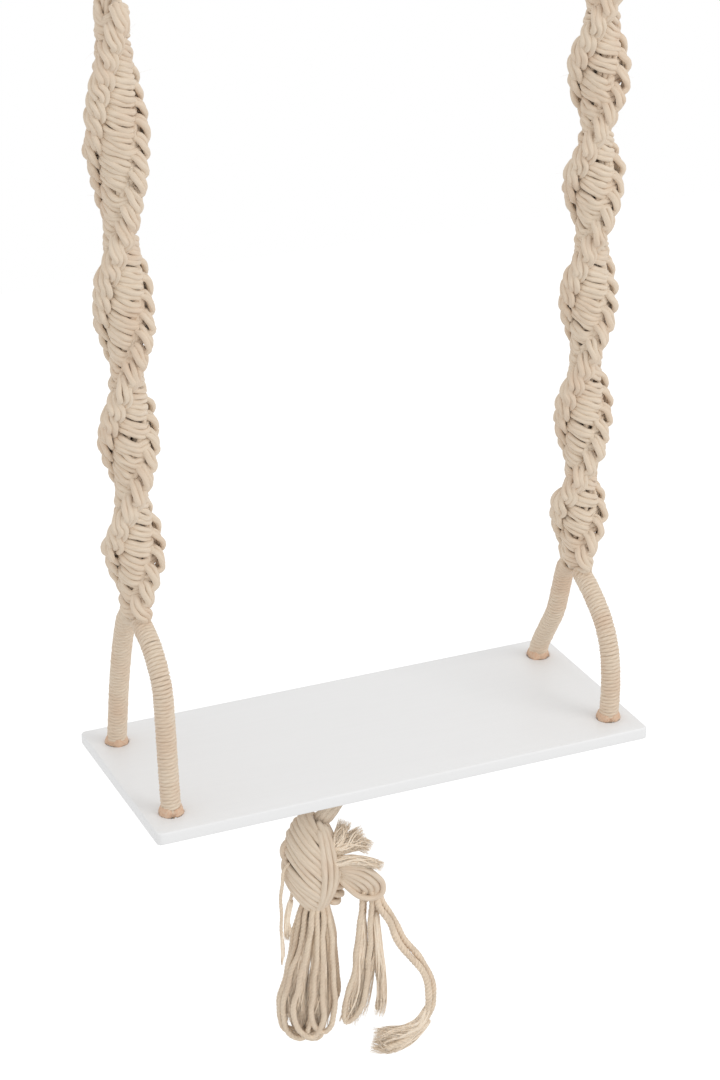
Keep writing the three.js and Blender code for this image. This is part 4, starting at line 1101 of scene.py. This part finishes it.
SIDE_ROUTES = {
    "side_skein_loop": [
        [33, -3, 124], [31, -6, 140], [28, -7, 165], [24, -8, 205], [16, -8, 240], [17, -8, 255],
        [25, -8, 250], [33, -8, 228], [37, -7, 190], [39, -6, 160], [40, -4, 140], [40, -3, 124],
    ],
    "side_skein_end_a": [
        [42, 0, 124], [42, 1, 145], [42, 1, 165], [44, 1, 200], [47, 1, 230], [45, 1, 248],
    ],
    "side_skein_end_b": [
        [35, 2, 124], [33, 5, 140], [32, 6, 160], [34, 6, 195], [38, 6, 222],
    ],
}
LONG_ROUTES = {
    "long_end_a": [
        [43, -2, 124], [46, -4, 138], [54, -5, 152], [65, -5, 179], [82, -5, 202], [90, -5, 226],
        [85, -5, 253], [66, -5, 277], [51, -5, 284],
    ],
    "long_end_b": [
        [45, 1, 124], [48, 2, 137], [55.5, 2, 150], [69, 1, 178], [85.5, 1, 201], [93.5, 1, 227],
        [87.5, 1, 256], [68.5, 1, 281.5], [55, 1, 287],
    ],
}
THIN_ROUTES = {
    "loose_end": [
        [-30, -13, 90], [-35.3, -13.8, 98], [-36.5, -14, 112], [-38, -14, 130], [-38, -14, 155],
        [-37, -14, 184],
    ],
    "short_end": [
        [-26, -4, 112], [-28.2, -5, 121], [-30.5, -8, 133], [-32.5, -10, 148], [-31, -10.5, 163],
    ],
}


def add_cord(name, route, width, body):
    """A free hanging cord with its plies. It strays a little from its route, and its width swells
    and thins, each as a slow wave of its length."""
    seed = SEEDS["cords"] + sum(name.encode())
    path = smooth_line(hung(route), 1.3 * MM)
    run = lengths(path)
    _, _, side = frames(path, TOWARDS_CAMERA)
    stray = wander(run, 0.5 * MM, seed, 55 * MM)
    from_root = np.minimum(run / (25 * MM), 1)
    path = path + side * stray[:, None] * from_root[:, None]
    half = width / 2 * (1 + wander(run, 0.045, seed + 1, 30 * MM))
    laid = tube(path, TOWARDS_CAMERA, half, half, sides=12, lay=CORD_LAY, lobe=0.13)
    piece = add_piece(name, [laid], LAID, body)


def throat(centre):
    """Four short upright strands in a ring, on which a skein hangs out of the knot."""
    at = hung([centre])[0]
    height = np.linspace(-5, 5, 5)[:, None] * MM
    return [tube(at + np.array([np.cos(a), np.sin(a), 0]) * 2.6 * MM + Z * height, X, 2 * MM, 2 * MM)
            for a in TURN * np.arange(4) / 4]


# Combed out ends. Each has its body, the count of its yarns, the half widths of its section at
# the root and at the tip, across and away, and its route
LOCKS = {
    "skein_lock_a": ["skein", 56, [4.5, 2.5], [11, 4],
                     [[-14, -5, 148], [-19, -9, 182], [-27, -9, 220], [-29, -9, 256]]],
    "skein_lock_b": ["skein", 56, [4.5, 2.5], [11, 4],
                     [[-7, -5, 148], [-6, -9, 182], [-8, -9, 220], [-10, -9, 258]]],
    "long_end_tip_a": ["side_skein", 44, [3, 3], [9, 4.5],
                       [[88, -5, 243], [80, -6, 258], [67, -6, 266], [55, -5, 269], [42, -4, 273]]],
    "long_end_tip_b": ["side_skein", 44, [3, 3], [9, 4.5],
                       [[89, 0, 258], [76, -1, 274], [63, -2, 282], [51, -2, 284], [39, -1, 281]]],
    "side_lock_a": ["side_skein", 34, [2.5, 2.5], [8.5, 6],
                    [[32, -3, 146], [32, -4, 174], [29, -5, 207], [23, -5, 234], [18, -5, 259]]],
    "side_lock_b": ["side_skein", 30, [2.5, 2.5], [8, 5],
                    [[40, 1, 146], [41, 1, 174], [37, 1, 207], [31, 1, 237], [24, 1, 257]]],
    "side_lock_c": ["side_skein", 26, [2.5, 2.5], [5, 4],
                    [[43, -1, 146], [45, -2, 177], [48, -2, 212], [48, -2, 237], [45, -2, 252]]],
    "short_end_tip": ["shelf", 16, [1.4, 1.4], [2.4, 1.6],
                      [[-29.5, -8, 130], [-32.5, -10.5, 144], [-33.5, -12, 157], [-33, -12.5, 168]]],
    "loose_end_tip": ["shelf", 6, [0.7, 0.7], [1, 0.8],
                      [[-38, -14, 158], [-37.8, -14.6, 172], [-37.8, -15.8, 182], [-38.4, -17.2, 190]]],
}


class HangingTassel(bpy.types.Operator):
    """Hangs the skeins, the long ends and the loose ends of the tassel"""
    bl_idname = "rope_shelf.tassel"
    bl_label = "Tassel"

    def execute(self, context):
        tassel = context.scene.rope_tassel
        for name, route in SKEIN_ROUTES.items():
            add_cord(name, route, tassel.cord, "skein")
        for name, route in SIDE_ROUTES.items():
            add_cord(name, route, tassel.cord, "side_skein")
        for name, route in LONG_ROUTES.items():
            add_cord(name, route, tassel.cord * 1.2, "side_skein")
        for name, route in THIN_ROUTES.items():
            add_cord(name, route, tassel.thin_cord, "shelf")
        for number, (name, (body, count, start, end, route)) in enumerate(LOCKS.items()):
            yarns = fluffy(route, count, start, end, 1.4 * MM, SEEDS["locks"] + 2 * number)
            add_piece(name, yarns, FIBRE, body)
        add_piece("skein_throat", throat([-9, 0, 149]), LAID, "skein_pivot")
        add_piece("side_skein_throat", throat([38, 0, 131]), LAID, "side_pivot")
        return {"FINISHED"}


# The tufts, each of some locks with their routes and the half widths of their tips
TUFTS = {
    "upper_tuft": [([[4, -6, 86], [14, -7, 78], [24, -6, 70], [34, -5, 65]], 7.5, 4.5),
                   ([[4, -6, 87], [18, -8, 79], [30, -7, 76], [40, -5, 81]], 6.5, 4.5),
                   ([[5, -5, 86], [10, -7, 73], [15, -6, 62], [18, -4, 54]], 6, 4.5)],
    "lower_tuft": [([[2, -10, 93], [20, -12, 88], [34, -11, 90], [50, -9, 97]], 4.5, 3.5),
                   ([[2, -9, 94], [18, -10, 91], [30, -9, 93], [42, -8, 99]], 4, 3)],
}


class CombedTufts(bpy.types.Operator):
    """Combs out the two tufts that stand out of the knot"""
    bl_idname = "rope_shelf.tufts"
    bl_label = "Combed tufts"

    def execute(self, context):
        for number, (name, parts) in enumerate(TUFTS.items()):
            seed = SEEDS["tufts"] + 20 * number
            yarns = []
            for n, (route, wide, deep) in enumerate(parts):
                yarns += fluffy(route, 30, [3.5, 3.5], [wide, deep], 1.1 * MM, seed + 2 * n)
            add_piece(name, yarns, FIBRE, "shelf")
        return {"FINISHED"}


class StrayFibres(bpy.types.Operator):
    """Lets a few loose fibres stand off the straps"""
    bl_idname = "rope_shelf.strays"
    bl_label = "Stray fibres"

    def execute(self, context):
        count = 150
        for number, side in enumerate(STRAPS):
            foot, _, turn = strap_place(side)
            line = working_cord(side, number, 9 * MM)[:, :3]
            rng = np.random.default_rng(SEEDS["strays"] + number)
            picked = rng.choice(len(line), count, replace=False)
            roots = line[picked] * np.array([1.08, 1.08, 1])
            ways = unit(line[picked] * np.array([1, 1, 0])) + rng.normal(size=(count, 3)) * 0.7
            loose = fibres(foot + roots @ turn.T, ways @ turn.T, rng.uniform(2.5, 8, count) * MM, 0.09 * MM,
                           SEEDS["stray fibres"] + number, curl=0.5, stations=8)
            add_piece(side + "_stray_fibres", [loose], FIBRE, side + "_strap")
        return {"FINISHED"}


# The stage: a pale floor, soft light and the photograph's camera
CAMERA_PLACE = np.array([-864.8, -1973.4, 372.1]) * MM
CAMERA_RIGHT = np.array([0.9154, -0.4025, -0.0056])
CAMERA_UP = np.array([0.1689, 0.3715, 0.9128])
CAMERA_LENS = 94.0
CAMERA_SENSOR = 36.0
FLOOR_HALF = 6.0
# Each soft box by its name, width, power, place and turn
SOFT_BOXES = [("high soft box", 1.6, 17, (1.5, -2.0, 1.1), (0.95, 0.0, 0.6)),
              ("low soft box", 1.2, 1.3, (-0.5, -1.4, -1.25), (1.36, 0.0, -0.34))]


def seen_directly(tree):
    """1 where the camera, a mirror or a clear surface looks at a surface, and 0 for its light."""
    path = node(tree, "ShaderNodeLightPath")
    seen = node(tree, "ShaderNodeMath",
                {0: path.outputs["Is Camera Ray"], 1: path.outputs["Is Glossy Ray"]}, operation="MAXIMUM")
    return node(tree, "ShaderNodeMath", {0: seen.outputs[0], 1: path.outputs["Is Transmission Ray"]},
                operation="MAXIMUM").outputs[0]


def white_room(backdrop):
    """A world that shows the backdrop's colour at full strength and lights a little less."""
    world = bpy.data.worlds.new("soft white room")
    world.use_nodes = True
    tree = world.node_tree
    tree.nodes.clear()
    level = node(tree, "ShaderNodeMapRange", {"Value": seen_directly(tree), "To Min": 0.9})
    sky = node(tree, "ShaderNodeBackground", {"Color": opaque(backdrop), "Strength": level.outputs[0]})
    node(tree, "ShaderNodeOutputWorld", {"Surface": sky.outputs[0]})
    return world


def pale_floor(backdrop, height):
    """A level square of pale matt paint, lifted to white where it is seen directly."""
    material, tree = new_material("pale matt floor")
    paint = node(tree, "ShaderNodeBsdfDiffuse", {"Color": opaque((0.8, 0.8, 0.8))})
    lift = node(tree, "ShaderNodeEmission", {"Color": opaque(backdrop), "Strength": 0.4})
    both = node(tree, "ShaderNodeAddShader", {0: paint.outputs[0], 1: lift.outputs[0]})
    shown = node(tree, "ShaderNodeMixShader",
                 {0: seen_directly(tree), 1: paint.outputs[0], 2: both.outputs[0]})
    node(tree, "ShaderNodeOutputMaterial", {"Surface": shown.outputs[0]})
    mesh = bpy.data.meshes.new("floor")
    corners = [(x * FLOOR_HALF, y * FLOOR_HALF, height) for x, y in ((-1, -1), (1, -1), (1, 1), (-1, 1))]
    mesh.from_pydata(corners, [], [(0, 1, 2, 3)])
    mesh.materials.append(material)
    return bpy.data.objects.new("floor", mesh)


def soft_box(name, width, power, place, turned):
    """A round lamp with a soft edge to its shadows."""
    lamp = bpy.data.lights.new(name, "AREA")
    lamp.shape = "DISK"
    lamp.size = width
    lamp.energy = power
    light = bpy.data.objects.new(name, lamp)
    light.location = place
    light.rotation_euler = turned
    return light


def photograph_camera():
    """The camera fitted to the photograph, turned by its right and up directions."""
    camera = bpy.data.cameras.new("photograph view")
    camera.lens = CAMERA_LENS
    camera.sensor_width = CAMERA_SENSOR
    viewer = bpy.data.objects.new("photograph view", camera)
    right = unit(CAMERA_RIGHT)
    up = unit(CAMERA_UP - right * (CAMERA_UP @ right))
    turn = np.eye(4)
    turn[:3, :3] = np.stack([right, up, np.cross(right, up)], -1)
    turn[:3, 3] = CAMERA_PLACE
    viewer.matrix_world = Matrix(turn.tolist())
    return viewer


class Stage(bpy.types.Operator):
    """Sets the floor, the soft light, the white background and the camera"""
    bl_idname = "rope_shelf.stage"
    bl_label = "Stage"

    def execute(self, context):
        scene = context.scene
        settings = scene.rope_stage
        scene.world = white_room(settings.backdrop)
        floor = pale_floor(settings.backdrop, BOARD_TOP - settings.floor_drop)
        viewer = photograph_camera()
        for thing in [floor, *(soft_box(*box) for box in SOFT_BOXES), viewer]:
            scene.collection.objects.link(thing)
        scene.camera = viewer
        scene.view_settings.view_transform = "Standard"
        return {"FINISHED"}


STEPS = (Stage, HangingTassel, ShelfBoard, KnottedStraps, WhippedLegs, FrayedFeet, HangingLoops,
         UndersideCords, LargeKnot, CombedTufts, StrayFibres)


class RopeShelfPanel(bpy.types.Panel):
    """Lists the steps that dress the shelf"""
    bl_idname = "VIEW3D_PT_rope_shelf"
    bl_label = "Rope shelf"
    bl_space_type = "VIEW_3D"
    bl_region_type = "UI"
    bl_category = "Rope shelf"

    def draw(self, context):
        for step in STEPS:
            self.layout.operator(step.bl_idname)
        for group, keys in SETTINGS.items():
            for key in keys.__annotations__:
                self.layout.prop(getattr(context.scene, group), key)


SETTINGS = {"rope_board": BoardSettings, "rope_cords": CordSettings, "rope_tassel": TasselSettings,
            "rope_stage": StageSettings}


def register():
    """Registers the classes and hangs the settings on the scene."""
    for kind in (*SETTINGS.values(), *STEPS, RopeShelfPanel):
        bpy.utils.register_class(kind)
    for name, kind in SETTINGS.items():
        setattr(bpy.types.Scene, name, PointerProperty(type=kind))


def unregister():
    """Takes back what register did."""
    for name in SETTINGS:
        delattr(bpy.types.Scene, name)
    for kind in reversed((*SETTINGS.values(), *STEPS, RopeShelfPanel)):
        bpy.utils.unregister_class(kind)


def main():
    """Makes the pieces in order."""
    register()
    for step in STEPS:
        group, action = step.bl_idname.split(".")
        getattr(getattr(bpy.ops, group), action)()


if __name__ == "__main__":
    main()
